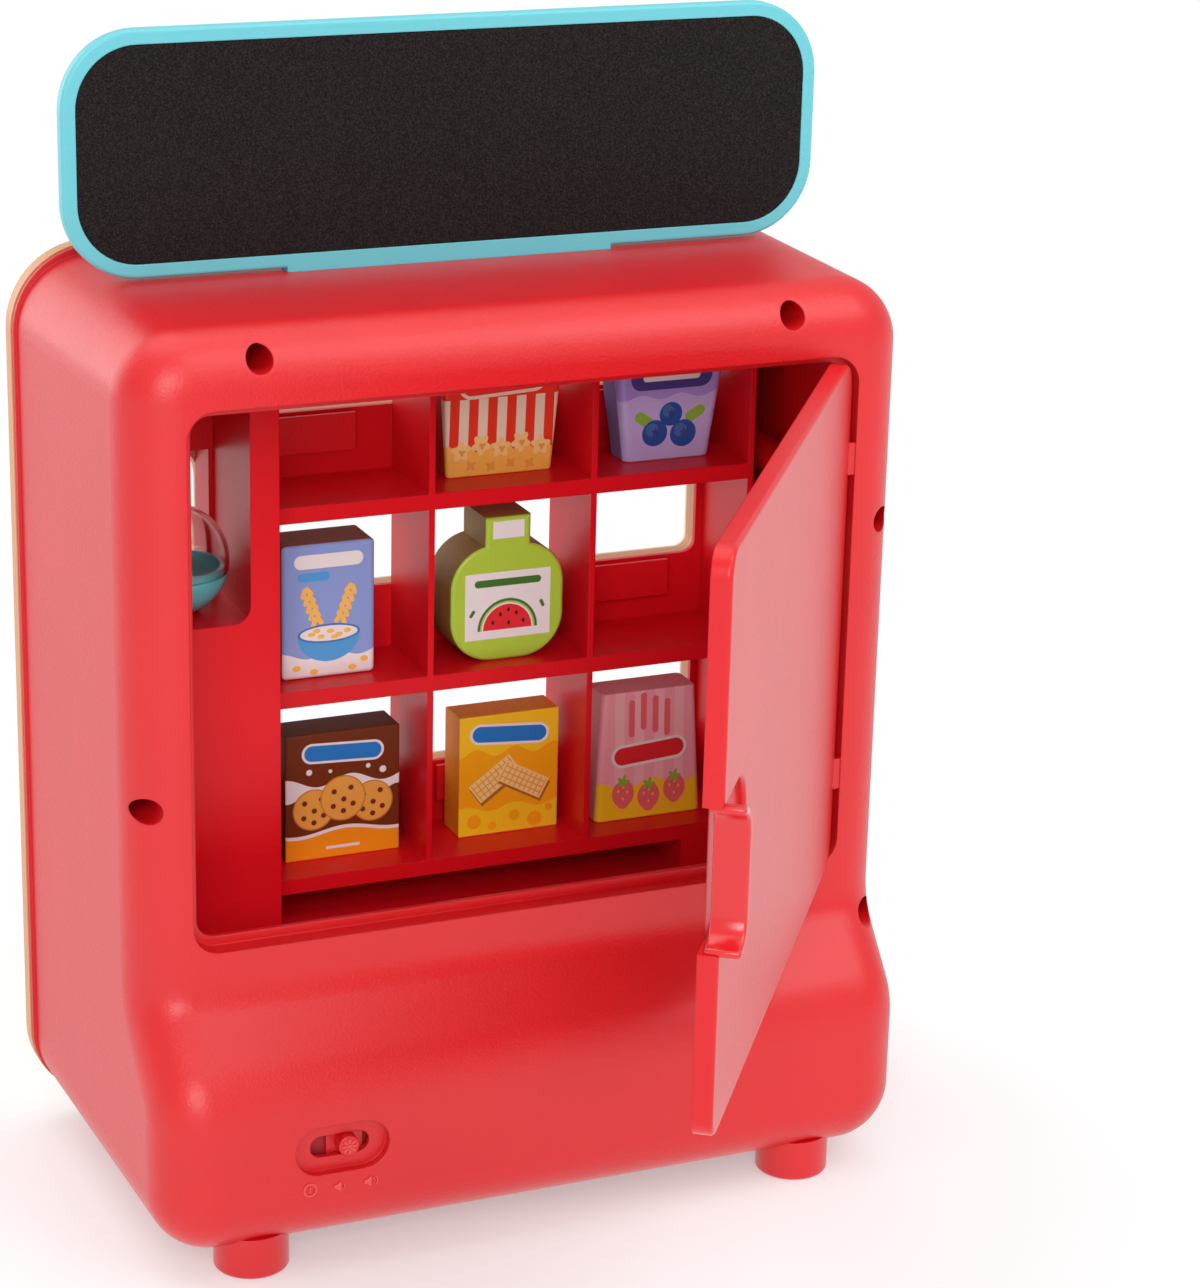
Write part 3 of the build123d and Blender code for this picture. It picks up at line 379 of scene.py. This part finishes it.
class Print:
    """A printed face: u runs to the viewer's right and v up from the block's foot."""

    def __init__(self, node, ground, side=None):
        low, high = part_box(node)
        self.finish = Finish("print_" + node)
        self.here = self.finish.place(((low[0] + high[0]) / 2, high[1], low[2]))
        self.u = self.finish.along(self.here, "X") * -1
        self.v = self.finish.along(self.here, "Z")
        self.depth = self.finish.along(self.here, "Y")
        # Without a side colour of its own, the side is the ground darkened to 0.72: painted shade where
        # the block turns away from the light.
        self.side = side or shaded(ground, 0.72)
        self.paint = ground

    def lay(self, mask, ink):
        """Prints one ink where the mask is 1."""
        self.paint = self.finish.mix(mask, self.paint, ink)

    def edge(self, distance):
        """A mask that is 1 where a distance is below zero, with a soft rim."""
        return (0.5 - distance / PRINT_SOFTNESS).clip()

    def pill(self, u, v, half_width, half_height, turn=0.0):
        """A bar with round ends."""
        across, along = self.turned(u, v, turn)
        beyond = (abs(across) - (half_width - half_height)).larger(0.0)
        return self.edge((beyond * beyond + along * along).root() - half_height)

    def lobed(self, u, v, radius, lobes, depth, phase=0.0):
        """A round patch whose rim swings in and out, as a splash, a leaf crown or popped corn."""
        across, along = self.turned(u, v, 0.0)
        angle = along.math("ARCTAN2", across)
        rim = (angle * lobes + phase).sine() * depth + radius
        return self.edge((across * across + along * along).root() - rim)

    def turned(self, u, v, turn):
        """The two distances from a point, measured along turned axes."""
        across = self.u - u
        along = self.v - v
        if not turn:
            return across, along
        return across * cos(turn) + along * sin(turn), along * cos(turn) - across * sin(turn)

    def disc(self, u, v, radius, flat=1.0):
        """A round patch, or a flat or tall one."""
        across = self.u - u
        along = (self.v - v) / flat
        return self.edge((across * across + along * along).root() - radius)

    def bar(self, u, v, half_width, half_height, turn=0.0):
        """A bar with square ends."""
        across, along = self.turned(u, v, turn)
        return self.edge((abs(across) - half_width).larger(abs(along) - half_height))

    def below(self, level, swing=0.0, period=20.0, shift=0.0):
        """All that lies below a level or a wavy line."""
        wave = ((self.u + shift) * (2 * pi / period)).sine() * swing
        return self.edge(self.v - (wave + level))

    def stripes(self, period):
        """Upright stripes with gaps of their own width."""
        return self.edge(self.u.wrapped(period) - period / 4)

    def done(self, lean=0.6):
        """Ends the print; what lies further back than the lean is bare or painted wood, or the ground
        darkened as painted shade.
        """
        finish = self.finish
        fibre = finish.noise(finish.stretched(self.here, (1.0, 1.0, 0.15)), 0.9, 3.0)
        front = (self.depth + lean).over(0.0)
        speck = ((finish.noise(self.here, 0.9, 3.0, 0.7) - 0.5) * 4.0).clip()
        side = finish.mix(fibre * 0.5 + speck * 0.5, self.side, shaded(self.side, 0.6))
        return finish.surface(
            base_color=finish.mix(front, side, self.paint),
            roughness=fibre * 0.12 + 0.32 + (1 - front) * 0.2,
            normal=finish.bump(fibre, 0.1, 0.2 * MM, finish.soft_edges(0.6 * MM)),
            coat_weight=front * 0.2,
            coat_roughness=0.15,
            specular_ior_level=0.3,
        )


def cookie_print(tones):
    art = Print("cookie_box", tones.cocoa, side=tones.cocoa_side)
    art.lay(art.below(37, 2.4, 31, 4) * (1 - art.below(30, 2.0, 21)), tones.milk)
    for u, v, radius in ((-16, 42, 1.4), (-6, 41.5, 0.9), (12, 42, 1.1), (19, 39.5, 1.6)):
        art.lay(art.disc(u, v, radius), tones.milk)
    for u, v, radius in ((-14, 24, 9.2), (14, 25, 9.2), (0, 28, 10.2)):
        art.lay(art.disc(u, v, radius + 0.6), tones.crust_deep)
        art.lay(art.disc(u, v, radius), tones.crust)
        for du, dv in ((-4.2, 3.4), (3.8, 4.6), (0.4, -0.6), (-4.6, -3.6), (4.8, -3.2), (0.2, -6.2)):
            art.lay(art.disc(u + du, v + dv, 1.25), tones.cocoa)
    art.lay(art.below(13.5, 1.6, 46, 10), tones.milk)
    art.lay(art.below(11.8, 1.6, 46, 10), tones.orange)
    art.lay(art.pill(0, 50, 19.5, 4.8, -0.05), tones.milk)
    art.lay(art.pill(0, 50, 18.3, 3.7, -0.05), tones.sky)
    art.lay(art.bar(0, 5, 8, 0.7), tones.milk)
    return art.done()


def wafer_print(tones):
    art = Print("wafer_box", tones.orange_light, side=tones.orange_side)
    art.lay(1 - art.below(40, 2.0, 19, 2), tones.yolk)
    art.lay(art.below(13, 1.5, 24, 3), tones.yolk)
    for u, v, radius in ((-17, 7, 3.4), (-8, 4, 2.0), (3, 8, 2.6), (13, 5, 3.6), (20, 10, 1.8)):
        art.lay(art.disc(u, v, radius), tones.orange_light)
    for u, v, turn in ((-7, 27, 0.62), (7, 25, -0.5)):
        across, along = art.turned(u, v, turn)
        grid = art.edge((across.wrapped(2.7) - 0.3).smaller(along.wrapped(2.7) - 0.3))
        art.lay(art.bar(u + 0.6, v - 1.6, 12.0, 5.2, turn), tones.cocoa_light)
        art.lay(art.bar(u, v, 12.0, 5.2, turn), tones.grain_light)
        art.lay(art.bar(u, v, 11.2, 4.6, turn) * grid, tones.crust)
    art.lay(art.pill(0, 48, 19.5, 5.0, -0.08), tones.milk)
    art.lay(art.pill(0, 48, 18.2, 3.8, -0.08), tones.sky)
    return art.done()


def biscuit_print(tones):
    art = Print("biscuit_box", tones.rose, side=tones.rose)
    for u in (-15, -5, 5, 15):
        art.lay(art.bar(u, 44, 2.4, 30), tones.rose_light)
    for u, top in ((-9, 57), (-3, 60), (3, 58), (9, 56)):
        art.lay(art.pill(u, top - 8, 9.0, 1.5, pi / 2), tones.berry_light)
    art.lay(art.below(17, 2.2, 27, 5), tones.yolk)
    for u, v in ((-13, 13), (0, 10.5), (13, 13)):
        art.lay(art.disc(u, v, 5.6, 1.15), tones.berry_light)
        art.lay(art.disc(u, v - 3.4, 3.4, 1.2), tones.berry_light)
        for du, dv in ((-2.4, 1.4), (2.2, 0.6), (0, -2.6), (0.2, 3.0)):
            art.lay(art.disc(u + du, v + dv, 0.45, 1.6), tones.yolk)
        art.lay(art.lobed(u, v + 5.8, 2.4, 5, 1.0, 1.5), tones.leaf)
    art.lay(art.pill(0, 32, 19, 5.6, 0.07), tones.milk)
    art.lay(art.pill(0, 32, 17.6, 4.2, 0.07), tones.berry)
    return art.done(2.5)


def oat_print(tones):
    art = Print("oat_milk_carton", tones.periwinkle, side=tones.brown)
    art.lay(art.below(11, 1.6, 24, 4), tones.milk)
    for side in (-1, 1):
        for step in range(5):
            u, v = side * (4.4 + step * 1.2), 27 + step * 3.4
            art.lay(art.pill(u, v, 2.5, 1.1, pi / 2 - side * 0.7), tones.grain)
            art.lay(art.pill(u + side * 2.4, v - 1.0, 2.5, 1.1, pi / 2 + side * 0.3), tones.grain)
    art.lay(art.disc(0, 20, 14.5, 0.86) * art.below(20.0), tones.sky_light)
    art.lay(art.disc(0, 20.5, 14.5, 0.30), tones.sky_deep)
    art.lay(art.disc(0, 20.5, 13.4, 0.26), tones.milk)
    flakes = ((-8, 20.5), (-3.6, 19.2), (0.8, 21.4), (4.8, 19.6), (8.6, 21), (-5.6, 22), (2.6, 18.6))
    for u, v in flakes:
        art.lay(art.disc(u, v, 1.7, 0.6), tones.grain)
    for u, v in ((-15, 5.5), (-7, 3.2), (11, 3.6), (16.5, 7)):
        art.lay(art.disc(u, v, 1.9, 0.7), tones.grain)
    art.lay(art.pill(0, 54, 16, 3.2), tones.milk)
    art.lay(art.pill(-7, 47, 7.5, 2.0), tones.sky_light)
    return art.done(1.2)


def melon_print(tones):
    art = Print("melon_juice_bottle", tones.melon, side=tones.melon_side)
    art.lay(art.bar(0, 61.0, 7.5, 4.0), tones.milk)
    art.lay(art.bar(0, 26, 20.5, 15.5), tones.milk)
    slice_part = 1 - art.below(14.5)
    layers = ((14.4, tones.leaf_deep), (13.2, tones.leaf_light), (12.4, tones.milk), (11.7, tones.berry))
    for radius, ink in layers:
        art.lay(art.disc(0, 14.5, radius) * slice_part, ink)
    for u, v in ((-7, 18), (-3.4, 21.6), (0.6, 17.4), (4.2, 21.8), (7.6, 17.8), (0.4, 23.6)):
        art.lay(art.disc(u, v, 0.65, 1.5), tones.ink)
    for u, v, turn in ((-17, 23, 1.0), (16.6, 25, 2.0)):
        art.lay(art.pill(u, v, 1.9, 0.8, turn), tones.leaf_deep)
    art.lay(art.pill(0, 36.6, 16, 1.7), tones.leaf_deep)
    return art.done(1.0)


def popcorn_print(tones):
    art = Print("popcorn_tub", tones.tomato)
    art.lay(art.below(36) * art.stripes(9.0), tones.cream)
    art.lay(art.below(13, 1.8, 9.0), tones.grain)
    for u, v in ((-19, 12), (-9.5, 14.5), (0, 12.5), (9.5, 14.5), (19, 12)):
        art.lay(art.lobed(u, v, 4.0, 5, 0.9, u), tones.grain_light)
        art.lay(art.lobed(u + 0.6, v - 0.5, 1.3, 3, 0.4), tones.crust)
    for u, v in ((-14, 5), (-4.6, 4), (5, 5), (14, 4)):
        art.lay(art.lobed(u, v, 2.0, 4, 0.6, v), tones.crust)
    art.lay(art.pill(0, 43, 21, 6.4, 0.05), tones.cream)
    art.lay(art.pill(0, 43, 19.4, 4.9, 0.05), tones.tomato)
    return art.done(6.5)


def yogurt_print(tones):
    art = Print("yogurt_pot", tones.lilac)
    art.lay(art.below(30, 1.2, 19), tones.lilac_light)
    for u, v in ((12.5, 21), (-12.5, 19.5)):
        art.lay(art.pill(u, v, 5.2, 2.6, 0.5 if u > 0 else -0.6), tones.leaf)
    for u, v, radius in ((-7, 13, 6.2), (7, 12, 6.4), (0.5, 21.5, 5.6)):
        art.lay(art.disc(u, v, radius), tones.blueberry)
        art.lay(art.disc(u - 1.4, v + 1.6, radius * 0.5), tones.sky_deep)
        art.lay(art.lobed(u + 0.4, v + 0.4, 1.5, 5, 0.6), tones.plum)
    art.lay(art.pill(0, 39, 20, 5.6), tones.plum)
    art.lay(art.pill(0, 39, 14, 1.6), tones.milk)
    return art.done(6.5)


# Meshes

def finished(name, mesh, body, material, smooth=True):
    """Turns a bmesh into a piece of the object that rides on a body."""
    bmesh.ops.remove_doubles(mesh, verts=mesh.verts, dist=1e-7)
    bmesh.ops.recalc_face_normals(mesh, faces=mesh.faces)
    data = bpy.data.meshes.new(name)
    mesh.to_mesh(data)
    mesh.free()
    for face in data.polygons:
        face.use_smooth = smooth
    data.materials.append(material)
    piece = bpy.data.objects.new(name, data)
    bpy.context.scene.collection.objects.link(piece)
    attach(piece, body)
    return piece


def pushed_out(mesh, corners, way):
    """Adds a face with these corners and pushes it out into a solid."""
    face = mesh.faces.new([mesh.verts.new(corner) for corner in corners])
    grown = bmesh.ops.extrude_face_region(mesh, geom=[face])
    moved = [item for item in grown["geom"] if isinstance(item, bmesh.types.BMVert)]
    bmesh.ops.translate(mesh, verts=moved, vec=way)


class Relief:
    """A flat relief on a face that looks to +Y, drawn in millimetres."""

    def __init__(self, face_y, rise):
        self.mesh = bmesh.new()
        self.y = face_y - RELIEF_SINK * MM
        self.rise = rise * MM

    def patch(self, x, z, outline):
        """Adds a raised patch with this outline about a point."""
        corners = [((x - u) * MM, self.y, (z + v) * MM) for u, v in outline]
        pushed_out(self.mesh, corners, (0, self.rise, 0))

    def ring(self, x, z, radius, width, start=0.0, sweep=2 * pi, steps=40):
        """Adds a raised ring, or a piece of one, by turning its section about its middle."""
        centre = Vector((x * MM, self.y, z * MM))
        inner, outer = radius * MM, (radius + width) * MM
        section = [(inner, 0.0), (outer, 0.0), (outer, self.rise), (inner, self.rise)]
        place = Matrix.Translation(centre) @ Matrix.Rotation(start, 4, "Y")
        corners = [self.mesh.verts.new(place @ Vector((r, d, 0))) for r, d in section]
        face = self.mesh.faces.new(corners)
        bmesh.ops.spin(
            self.mesh,
            geom=[face, *face.edges, *face.verts],
            cent=centre,
            axis=(0, 1, 0),
            angle=sweep,
            steps=steps,
            use_merge=sweep == 2 * pi,
        )


# Sizes and colours

def tone(label, default):
    """A colour that the sidebar shows."""
    text = "Colour of the " + label.lower()
    return FloatVectorProperty(
        name=label, description=text, subtype="COLOR", size=3, min=0, max=1, default=default
    )


def size(label, text, default, unit="NONE", low=0.0, high=1000.0):
    """A number that the sidebar shows."""
    return FloatProperty(name=label, description=text, default=default, min=low, max=high, unit=unit)


class VendingColours(bpy.types.PropertyGroup):
    """Colours of the machine."""

    shell: tone("Housing", (0.66, 0.004, 0.008))
    insert: tone("Cells", (0.74, 0.006, 0.014))
    cream: tone("Front face", (0.86, 0.74, 0.46))
    wood: tone("Bare board edges", (0.80, 0.40, 0.20))
    teal: tone("Blackboard frame", (0.13, 0.55, 0.62))
    chalk: tone("Chalk surface", (0.007, 0.005, 0.005))
    steel: tone("Steel", (0.62, 0.62, 0.62))
    black: tone("Black plastic", (0.02, 0.02, 0.02))
    circuit: tone("Sound board", (0.01, 0.16, 0.06))
    white: tone("White plastic", (0.82, 0.82, 0.78))
    yellow: tone("Coin plate", (0.92, 0.56, 0.04))
    bowl: tone("Capsule bowl", (0.08, 0.48, 0.52))
    # The marks and the knob's ribs are moulded in the housing's red; this lighter, pinker red is painted
    # highlight on the raised reliefs.
    marks: tone("Switch marks", (0.76, 0.05, 0.05))
    switch: tone("Switch body", (0.40, 0.008, 0.014))
    battery: tone("Battery cells", (0.30, 0.30, 0.33))


class SnackColours(bpy.types.PropertyGroup):
    """Inks on the snack blocks."""

    cocoa: tone("Cocoa", (0.17, 0.034, 0.007))
    cocoa_side: tone("Cocoa side", (0.13, 0.040, 0.018))
    cocoa_light: tone("Light cocoa", (0.42, 0.17, 0.03))
    cream: tone("Cream", (0.90, 0.82, 0.62))
    crust: tone("Crust", (0.84, 0.42, 0.08))
    crust_deep: tone("Crust rim", (0.62, 0.24, 0.03))
    orange: tone("Orange", (0.95, 0.34, 0.01))
    orange_light: tone("Light orange", (0.97, 0.44, 0.01))
    orange_side: tone("Orange side", (0.84, 0.32, 0.01))
    yolk: tone("Yolk yellow", (0.98, 0.66, 0.02))
    sky: tone("Sky blue", (0.02, 0.22, 0.66))
    sky_light: tone("Light blue", (0.08, 0.38, 0.78))
    sky_deep: tone("Deep blue", (0.06, 0.18, 0.50))
    rose: tone("Rose", (0.93, 0.44, 0.50))
    rose_light: tone("Light rose", (0.96, 0.56, 0.60))
    berry: tone("Berry red", (0.78, 0.03, 0.04))
    berry_light: tone("Light berry", (0.88, 0.16, 0.18))
    leaf: tone("Leaf", (0.28, 0.56, 0.06))
    leaf_light: tone("Light leaf", (0.40, 0.66, 0.12))
    leaf_deep: tone("Deep leaf", (0.05, 0.20, 0.03))
    periwinkle: tone("Periwinkle", (0.26, 0.38, 0.76))
    brown: tone("Brown side", (0.24, 0.12, 0.08))
    milk: tone("Milk white", (0.86, 0.86, 0.86))
    grain: tone("Grain yellow", (0.96, 0.56, 0.10))
    grain_light: tone("Light grain", (0.97, 0.72, 0.28))
    melon: tone("Melon green", (0.44, 0.68, 0.06))
    melon_side: tone("Melon side", (0.30, 0.20, 0.05))
    ink: tone("Ink", (0.02, 0.015, 0.01))
    tomato: tone("Tomato red", (0.86, 0.05, 0.02))
    lilac: tone("Lilac", (0.40, 0.32, 0.80))
    lilac_light: tone("Light lilac", (0.56, 0.50, 0.90))
    plum: tone("Plum", (0.06, 0.06, 0.28))
    blueberry: tone("Blueberry", (0.02, 0.10, 0.42))


class StudioSizes(bpy.types.PropertyGroup):
    """Camera and light."""

    lens: size("Lens", "Focal length", 102.76, "CAMERA", 10.0)
    floor: size("Floor", "Width of the floor", 30.0, "LENGTH", 1.0)
    shadow_reach: size("Shadow reach", "Radius in which the floor shows all shadow", 0.30, "LENGTH")
    fade: size("Fade", "Width of the ring in which the floor turns white", 0.45, "LENGTH", 0.01)
    own_white: size("Own white", "Share of the floor that stays white in the shadow", 0.35, high=1.0)
    key: size("Key light", "Power of the key light", 38.0, "POWER")
    rim: size("Rim light", "Power of the light on the side", 22.0, "POWER")
    fill: size("Fill light", "Power of the softbox and the top light", 16.8, "POWER")
    sky: size("Sky", "Strength of the light from all around", 0.62)


# Operators

class VENDING_OT_stage(bpy.types.Operator):
    """Sets the camera, the pale floor, the lamps and the white surroundings"""

    bl_idname = "vending.stage"
    bl_label = "Studio"

    def execute(self, context):
        sizes = context.scene.vending_studio
        camera = bpy.data.objects.new("camera", bpy.data.cameras.new("camera"))
        context.scene.collection.objects.link(camera)
        camera.location = CAMERA_PLACE
        camera.rotation_euler = [radians(angle) for angle in CAMERA_TURN]
        camera.data.sensor_width = CAMERA_SENSOR
        camera.data.lens = sizes.lens
        camera.data.shift_x, camera.data.shift_y = CAMERA_SHIFT
        camera.data.clip_end = CAMERA_REACH
        context.scene.camera = camera

        mesh = bmesh.new()
        bmesh.ops.create_grid(mesh, x_segments=1, y_segments=1, size=sizes.floor / 2)
        data = bpy.data.meshes.new("floor")
        mesh.to_mesh(data)
        mesh.free()
        data.materials.append(floor_finish(sizes))
        floor = bpy.data.objects.new("floor", data)
        context.scene.collection.objects.link(floor)

        for name, place, width, power in (
            ("key_light", (1.0, 2.6, 1.5), 1.4, sizes.key),
            ("softbox", (-0.95, 1.05, 2.0), 1.5, sizes.fill),
            ("top_light", (0.3, -0.5, 2.4), 2.0, sizes.fill),
            ("rim_light", (1.5, -2.2, 1.0), 2.0, sizes.rim),
        ):
            lamp = bpy.data.lights.new(name, "AREA")
            lamp.shape = "SQUARE"
            lamp.size = width
            lamp.energy = power
            light = bpy.data.objects.new(name, lamp)
            light.location = place
            light.rotation_euler = (LAMPS_AIM - Vector(place)).to_track_quat("-Z", "Y").to_euler()
            context.scene.collection.objects.link(light)

        world = bpy.data.worlds.new("surroundings")
        context.scene.world = world
        sky = Nodes(world, "ShaderNodeOutputWorld")
        dim, bright = (
            sky.add("ShaderNodeBackground", None, {"Color": WHITE, "Strength": strength})
            for strength in (sizes.sky, 1.0)
        )
        camera_ray = sky.add("ShaderNodeLightPath", output="Is Camera Ray")
        clear_ray = sky.add("ShaderNodeLightPath", output="Is Transmission Ray")
        shown = camera_ray.larger(clear_ray)
        sky.end(sky.add("ShaderNodeMixShader", None, {0: shown, 1: dim, 2: bright}))
        context.scene.view_settings.view_transform = "Standard"
        return {"FINISHED"}


class VENDING_OT_housing(bpy.types.Operator):
    """Finishes the red housing, its feet, the door and the small red covers"""

    bl_idname = "vending.housing"
    bl_label = "Housing and door"

    def execute(self, context):
        tones = context.scene.vending_colours
        wear(moulded("red_shell", tones.shell, edge=1.0), "rear_shell")
        wear(moulded("red_door", tones.shell, 0.34, 0.2, edge=0.8, grain=0.3, gloss=0.45), "door")
        wear(moulded("red_trim", tones.shell), "battery_cover", "power_slider", "coin_cup")
        corners = ("rear_left", "rear_right", "front_left", "front_right")
        wear(moulded("red_foot", tones.shell), *("foot_" + corner for corner in corners))
        return {"FINISHED"}


class VENDING_OT_front(bpy.types.Operator):
    """Finishes the wooden front panel and what sits on its face"""

    bl_idname = "vending.front"
    bl_label = "Front panel"

    def execute(self, context):
        tones = context.scene.vending_colours
        wear(panel_finish(tones.cream, tones.wood), "front_panel")
        wear(moulded("teal_plastic", tones.bowl, 0.28, 0.4, edge=0.6), "capsule_knob")
        wear(moulded("yellow_plastic", tones.yellow, 0.28, 0.4), "coin_plate")
        wear(moulded("white_plastic", tones.white), "crank_disc", "release_gate")
        return {"FINISHED"}


class VENDING_OT_cells(bpy.types.Operator):
    """Finishes the cells, the capsule column, the inner floor and the selector buttons"""

    bl_idname = "vending.cells"
    bl_label = "Cells and column"

    def execute(self, context):
        tones = context.scene.vending_colours
        inner = moulded("red_insert", tones.insert, 0.36, 0.1, edge=0.6, grain=0.2, gloss=0.25)
        wear(inner, "cell_insert", "capsule_column", "inner_floor")
        button = moulded("red_button", tones.insert, 0.36, 0.2, edge=0.5, gloss=0.4)
        wear(button, *("selector_button_%d" % number for number in range(1, 10)))
        return {"FINISHED"}


class VENDING_OT_blackboard(bpy.types.Operator):
    """Finishes the blackboard and its frame"""

    bl_idname = "vending.blackboard"
    bl_label = "Blackboard"

    def execute(self, context):
        tones = context.scene.vending_colours
        wear(painted_board("teal_wood", tones.teal), "board_frame")
        wear(chalk_finish(tones.chalk), "chalk_panel")
        return {"FINISHED"}


class VENDING_OT_switch_marks(bpy.types.Operator):
    """Adds the three raised marks under the power switch and the ribs on its knob"""

    bl_idname = "vending.switch_marks"
    bl_label = "Switch marks"

    def execute(self, context):
        tones = context.scene.vending_colours
        # The reliefs get a lighter, pinker red than the housing: painted highlight.
        marks = moulded("red_marks_painted_highlight", tones.marks, 0.3, 0.4, grain=0.2)
        power = Relief(BULGE_Y, MARK_RISE)
        power.ring(*POWER_MARK, 2.3, 0.8)
        power.patch(*POWER_MARK, [(-0.3, 1.4), (-0.3, -1.4), (0.3, -1.4), (0.3, 1.4)])
        finished("mark_power", power.mesh, "cabinet", marks, False)
        horn = [(-2.6, 0.9), (-2.6, -0.9), (-1.4, -0.9), (0.4, -2.4), (0.4, 2.4), (-1.4, 0.9)]
        for name, x, waves in (("mark_sound_low", 94.9, 1), ("mark_sound_high", 81.6, 2)):
            speaker = Relief(BULGE_Y, MARK_RISE)
            speaker.patch(x, SPEAKER_Z, horn)
            for number in range(waves):
                radius = 1.4 + number * 1.2
                speaker.ring(x - 0.4, SPEAKER_Z, radius, 0.4, radians(135), radians(90), 12)
            finished(name, speaker.mesh, "cabinet", marks, False)
        low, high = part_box("power_slider")
        knob = Relief(high[1], RIB_RISE)
        x, z = (low[0] + high[0]) / 2 / MM, (low[2] + high[2]) / 2 / MM
        for number in range(8):
            across, along = cos(number * pi / 4), sin(number * pi / 4)
            rib = ((-0.35, 1.1), (0.35, 1.1), (0.45, 3.3), (-0.45, 3.3))
            knob.patch(x, z, [(u * across - v * along, u * along + v * across) for u, v in rib])
        knob.ring(x, z, 0.1, 0.7, steps=16)
        finished("slider_ribs", knob.mesh, "power_knob", marks, False)
        return {"FINISHED"}


class VENDING_OT_door_grip(bpy.types.Operator):
    """Adds the raised lip that runs round the finger notch in the door"""

    bl_idname = "vending.door_grip"
    bl_label = "Door grip"

    def execute(self, context):
        tones = context.scene.vending_colours
        # The lip's wall, its corners' radius, half its height, and its ends along the leaf
        wall, radius, half, back, end = 3.2, 13.0, 29.4, 274.0, 288.4
        outline = []
        for reach in (radius, radius - wall):
            rim = [(end, half - radius + reach)]
            for step in range(9):
                angle = pi / 2 + step * pi / 16
                rim.append((back + radius + reach * cos(angle), half - radius + reach * sin(angle)))
            rim += [(along, -up) for along, up in reversed(rim)]
            outline += rim if reach == radius else reversed(rim)
        turn = Matrix.Rotation(DOOR_TURN, 4, "Z")
        place = Matrix.Translation(Vector(DOOR_HINGE) * MM) @ turn @ Matrix.Scale(MM, 4)
        lip = bmesh.new()
        foot = DOOR_FACE - GRIP_DEPTH
        corners = [place @ Vector((along, foot, GRIP_Z + up)) for along, up in outline]
        pushed_out(lip, corners, turn @ Vector((0, (GRIP_DEPTH + GRIP_RISE) * MM, 0)))
        red = moulded("red_grip", tones.shell, 0.22, 0.5, grain=0.2)
        piece = finished("door_grip_lip", lip, "door_leaf", red)
        softened = piece.modifiers.new("rounding", "BEVEL")
        softened.width = GRIP_ROUNDING * MM
        softened.segments = 3
        softened.limit_method = "ANGLE"
        softened.angle_limit = radians(50)
        return {"FINISHED"}


class VENDING_OT_capsule(bpy.types.Operator):
    """Finishes the capsule's bowl and its clear dome"""

    bl_idname = "vending.capsule"
    bl_label = "Capsule"

    def execute(self, context):
        tones = context.scene.vending_colours
        wear(moulded("teal_bowl", tones.bowl, 0.25, 0.5), "capsule_base")
        wear(clear_finish("clear_plastic"), "capsule_dome")
        return {"FINISHED"}


class VENDING_OT_snacks(bpy.types.Operator):
    """Prints the snack blocks"""

    bl_idname = "vending.snacks"
    bl_label = "Snacks"

    def execute(self, context):
        tones = context.scene.vending_snacks
        wear(cookie_print(tones), "cookie_box")
        wear(wafer_print(tones), "wafer_box")
        wear(biscuit_print(tones), "biscuit_box")
        wear(oat_print(tones), "oat_milk_carton")
        wear(melon_print(tones), "melon_juice_bottle")
        wear(popcorn_print(tones), "popcorn_tub")
        wear(yogurt_print(tones), "yogurt_pot")
        return {"FINISHED"}


class VENDING_OT_electric(bpy.types.Operator):
    """Finishes the electric unit, the screws, the pins and the springs"""

    bl_idname = "vending.electric"
    bl_label = "Electric unit and fasteners"

    def execute(self, context):
        tones = context.scene.vending_colours
        steel = metal("steel", tones.steel, 0.25)
        wear(steel, "case_screws", "cover_screw", "door_pins", "selector_springs")
        wear(plain("black_plastic", tones.black, 0.5), "speaker", "battery_box")
        wear(plain("switch_red", tones.switch, 0.5), "switch_body")
        wear(plain("battery_case", tones.battery, 0.4), "battery_cells")
        wear(plain("circuit_board", tones.circuit, 0.4), "sound_board")
        return {"FINISHED"}


OPERATORS = (
    VENDING_OT_stage,
    VENDING_OT_housing,
    VENDING_OT_front,
    VENDING_OT_cells,
    VENDING_OT_blackboard,
    VENDING_OT_switch_marks,
    VENDING_OT_door_grip,
    VENDING_OT_capsule,
    VENDING_OT_snacks,
    VENDING_OT_electric,
)


class VENDING_PT_sidebar(bpy.types.Panel):
    """Lists the machine's pieces in the sidebar"""

    bl_idname = "VENDING_PT_sidebar"
    bl_label = "Vending machine"
    bl_space_type = "VIEW_3D"
    bl_region_type = "UI"
    bl_category = "Vending machine"

    def draw(self, context):
        for operator in OPERATORS:
            self.layout.operator(operator.bl_idname)
        for group in ("vending_colours", "vending_snacks", "vending_studio"):
            values = getattr(context.scene, group)
            for key in values.__annotations__:
                self.layout.prop(values, key)


GROUPS = {
    "vending_colours": VendingColours,
    "vending_snacks": SnackColours,
    "vending_studio": StudioSizes,
}
CLASSES = (*GROUPS.values(), *OPERATORS, VENDING_PT_sidebar)


def register():
    for item in CLASSES:
        bpy.utils.register_class(item)
    for name, group in GROUPS.items():
        setattr(bpy.types.Scene, name, PointerProperty(type=group))


def unregister():
    for name in GROUPS:
        delattr(bpy.types.Scene, name)
    for item in reversed(CLASSES):
        bpy.utils.unregister_class(item)


def main():
    register()
    for operator in OPERATORS:
        getattr(bpy.ops.vending, operator.bl_idname.split(".")[1])()


if __name__ == "__main__":
    main()
